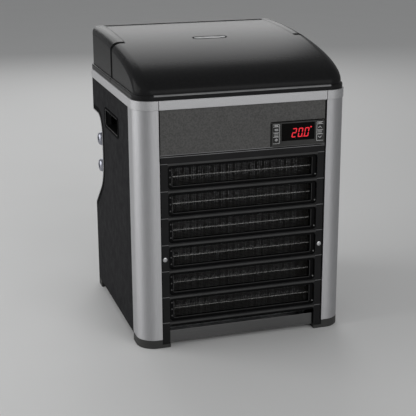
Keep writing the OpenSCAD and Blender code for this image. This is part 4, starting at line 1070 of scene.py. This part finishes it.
def make_notch_edge():
    """Bead round the notch in a light grey that paints the highlight of its rim, and a black band that
    paints the shade between the panel's edge and the rim.
    """
    face = box_mm("left_panel")[0][0]
    for name, (inner, outer, proud, finish) in NOTCH_PIECES.items():
        rings = [[(face - proud, *a), (face - proud, *b), (face + SIDE_SUNK, *b), (face + SIDE_SUNK, *a)]
                 for a, b in zip(notch_path(inner), notch_path(outer))]
        dress(lofted(name, rings), "cabinet", "grommet_rubber", finish)


# Frames round a grip cup, a black one that paints the shade round the cup's flange and a lighter line that
# paints the highlight on the cup's border: outer and inner size in (y, z), outer radius, how far they stand
# out, and finish
CUP_FRAMES = {
    "frame": ((88.0, 30.0), (80.4, 24.4), 6.0, 0.9, "cup_black"),
    "line": ((80.2, 24.2), (77.4, 22.6), 4.2, 0.45, "clip_grey"),
}
# How much smaller a frame's inner radius is
CUP_FRAME_STEP = 1.5


def make_cup_frames():
    """Raised black frame round each grip cup that paints the shade round its flange, with a fine lighter
    line inside it that paints the highlight on the cup's border.
    """
    for side, sx in (("left", -1), ("right", 1)):
        cup = side + "_handle_cup"
        low, high = box_mm(cup)
        face = max(abs(low[0]), abs(high[0]))
        middle = ((low[1] + high[1]) / 2, (low[2] + high[2]) / 2)
        for name, (outer_size, inner_size, radius, proud, finish) in CUP_FRAMES.items():
            outer = rounded_outline(*outer_size, radius, middle)
            inner = rounded_outline(*inner_size, radius - CUP_FRAME_STEP, middle)
            near, far = sx * (face - SIDE_SUNK), sx * (face + proud)
            levels = ((near, outer), (far, outer), (far, inner), (near, inner))
            rings = [[(x, *p) for p in outline] for x, outline in levels]
            piece = lofted("_".join((side, "cup", name)), rings, closed=True)
            dress(soften(piece, SMALL_EDGE), "cabinet", NODE_SLOT[cup], finish)


# Union nut round its section, as (distance outwards from its inner end, radius)
NUT_PROFILE = ((25.2, 6.3), (25.0, 7.2), (24.3, 8.2), (23.2, 9.1), (21.8, 9.8), (20.0, 10.25),
               (17.6, 10.4), (10.9, 10.4), (10.4, 10.9), (9.6, 12.6), (9.0, 13.4), (0.6, 13.4),
               (0.0, 12.9), (0.0, 8.3), (21.0, 8.3), (23.4, 6.3))
NUT_STEPS = 56


def make_nuts():
    """Domed union nuts, closed round the hose tails."""
    low, high = box_mm("union_nuts")
    collar = max(r for _, r in NUT_PROFILE)
    y = (low[1] + high[1]) / 2
    profile = [(high[0] - along, r) for along, r in NUT_PROFILE]
    bm = bmesh.new()
    for z in (low[2] + collar, high[2] - collar):
        add_turned(bm, profile, (0, y, z), 0, NUT_STEPS, closed=True)
    nuts = soften(solid("union_nut_domes", bm), SMALL_EDGE, CURVED_ANGLE)
    dress(nuts, "cabinet", NODE_SLOT["union_nuts"], finish_of("union_nuts"), ["union_nuts"])


# Screws

# Half distance between the rear panel's two rows of screws
REAR_SCREW_X = 111.4
# Pan head as (share of its height, share of its radius), closed by a last ring of nearly no radius
HEAD_PROFILE = ((0, 1), (0.35, 1), (0.8, 0.8), (1, 0.42))
HEAD_POLE_R = 0.02
HEAD_STEPS = 32
# The cross: half length and half width of its bars as shares of the radius, and its floor and top
CROSS_LONG = 0.62
CROSS_SHORT = 0.16
CROSS_DEPTHS = (0.35, 2)


def screw(centre, radius, height, out):
    """Pan-head screw with a cross recess. out is the side of the y axis that its head faces."""
    x, y, z = centre
    profile = [(out * height * up, radius * share) for up, share in HEAD_PROFILE]
    bm = bmesh.new()
    add_turned(bm, profile + [(out * height, HEAD_POLE_R)], centre, 1, HEAD_STEPS)
    head = solid("screw", bm)
    floor, top = [y + out * height * up for up in CROSS_DEPTHS]
    long_side, short_side = radius * CROSS_LONG, radius * CROSS_SHORT
    for dx, dz in ((long_side, short_side), (short_side, long_side)):
        cut_with(head, blocks("bar", [((x - dx, floor, z - dz), (x + dx, top, z + dz))]), "DIFFERENCE")
    return head


def make_screw_heads(group, places, radius, height, out):
    """One piece with a screw head at each place, which stands for the group's node."""
    heads = joined([screw(place, radius, height, out) for place in places], group + "_screw_heads")
    dress(soften(heads, SMALL_EDGE), "cabinet", "screw_steel", stands_for=[group + "_screws"])


def make_screws():
    """Heads of the two screws in the grille and of the six in the rear panel."""
    low, high = box_mm("grille_screws")
    face = box_mm("front_grille")[0][1]
    z = (low[2] + high[2]) / 2
    radius = (high[2] - low[2]) / 2
    places = [(x, face, z) for x in (low[0] + radius, high[0] - radius)]
    make_screw_heads("grille", places, radius, face - low[1], -1)
    low, high = box_mm("rear_screws")
    face = box_mm("rear_panel")[1][1]
    radius = (high[0] - low[0]) / 2 - REAR_SCREW_X
    places = [(sx * REAR_SCREW_X, face, z) for sx in SIDES
              for z in (low[2] + radius, (low[2] + high[2]) / 2, high[2] - radius)]
    make_screw_heads("rear", places, radius, high[1] - face, 1)


# Nodes that show with their sharp edges rounded, and by how much
EDGES = {
    "front_grille": 0.8, "control_panel": 0.4, "controller_bezel": 0.5, "filter_frame": 0.5,
    "trim_front": 0.5, "trim_rear": 0.5, "trim_left": 0.5, "trim_right": 0.5,
    "post_front_left": 0.4, "post_front_right": 0.4, "left_panel": 0.5, "right_panel": 0.5,
    "rear_panel": 0.3, "left_handle_cup": 0.4, "right_handle_cup": 0.4, "hose_recess": 0.5,
    "foot_front_left": 0.6, "foot_front_right": 0.6, "foot_rear_left": 0.6, "foot_rear_right": 0.6,
    "base_pan": 0.4, "key_set": 0.3, "key_standby": 0.3, "key_up": 0.3, "key_down": 0.3,
    "inlet_connector": 0.4, "outlet_connector": 0.4, "lid_badge": 0.2,
    "top_deck": 0.4, "mains_inlet": 0.3, "evaporator_cap": 0.6,
}


# Floor, lamps and world

FLOOR_HALF = 14.0
FLOOR_COLOUR = (0.72, 0.72, 0.715)
WORLD_COLOUR = (0.86, 0.87, 0.88)
WORLD_STRENGTH = 0.32
# Lamps: place, target, width and height, and power in watts
LAMPS = {
    "left": ((-1.75, 0.35, 0.8), (0, 0, 0.25), (1.7, 1.4), 20),
    "front": ((0.5, -2.3, 0.9), (0, 0, 0.25), (1.6, 1.6), 20),
    "back": ((0.3, 1.9, 1.3), (0, 0, 0.4), (1.4, 1.4), 10),
}


def make_stage():
    """Plain pale floor."""
    bm = bmesh.new()
    bm.faces.new([bm.verts.new((sx * FLOOR_HALF, sy * FLOOR_HALF, 0))
                  for sx, sy in ((-1, -1), (1, -1), (1, 1), (-1, 1))])
    floor = make_object("floor", bm)
    s = Shader("floor_pale", FLOOR_COLOUR, 0.6)
    floor.data.materials.append(s.vary_roughness(s.noise(6), 0.55, 0.65).material)


def add_lamp(name, place, target, size, power):
    data = bpy.data.lights.new(name, "AREA")
    data.shape = "RECTANGLE"
    data.size, data.size_y = size
    data.energy = power
    lamp = add_to_scene(name, data)
    lamp.location = place
    lamp.rotation_mode = "QUATERNION"
    lamp.rotation_quaternion = (Vector(target) - Vector(place)).to_track_quat("-Z", "Y")


def make_light():
    for name, values in LAMPS.items():
        add_lamp(name, *values)
    world = bpy.data.worlds.new("world")
    bpy.context.scene.world = world
    world.use_nodes = True
    background = world.node_tree.nodes["Background"]
    background.inputs["Color"].default_value = (*WORLD_COLOUR, 1)
    background.inputs["Strength"].default_value = WORLD_STRENGTH


add_camera()
for node, obj in frame["nodes"].items():
    wear(obj, finish_of(node))
make_hood()
make_badge_rim()
make_hood_shade_strips()
make_wires()
make_clips()
make_net()
make_fins()
make_display()
make_key_prints()
make_front_edges()
make_notch_edge()
make_grille_ribs()
make_cup_frames()
make_nuts()
make_screws()
for node, width in EDGES.items():
    rounded_node(node, width)
make_stage()
make_light()
bpy.context.scene.view_settings.view_transform = "Standard"
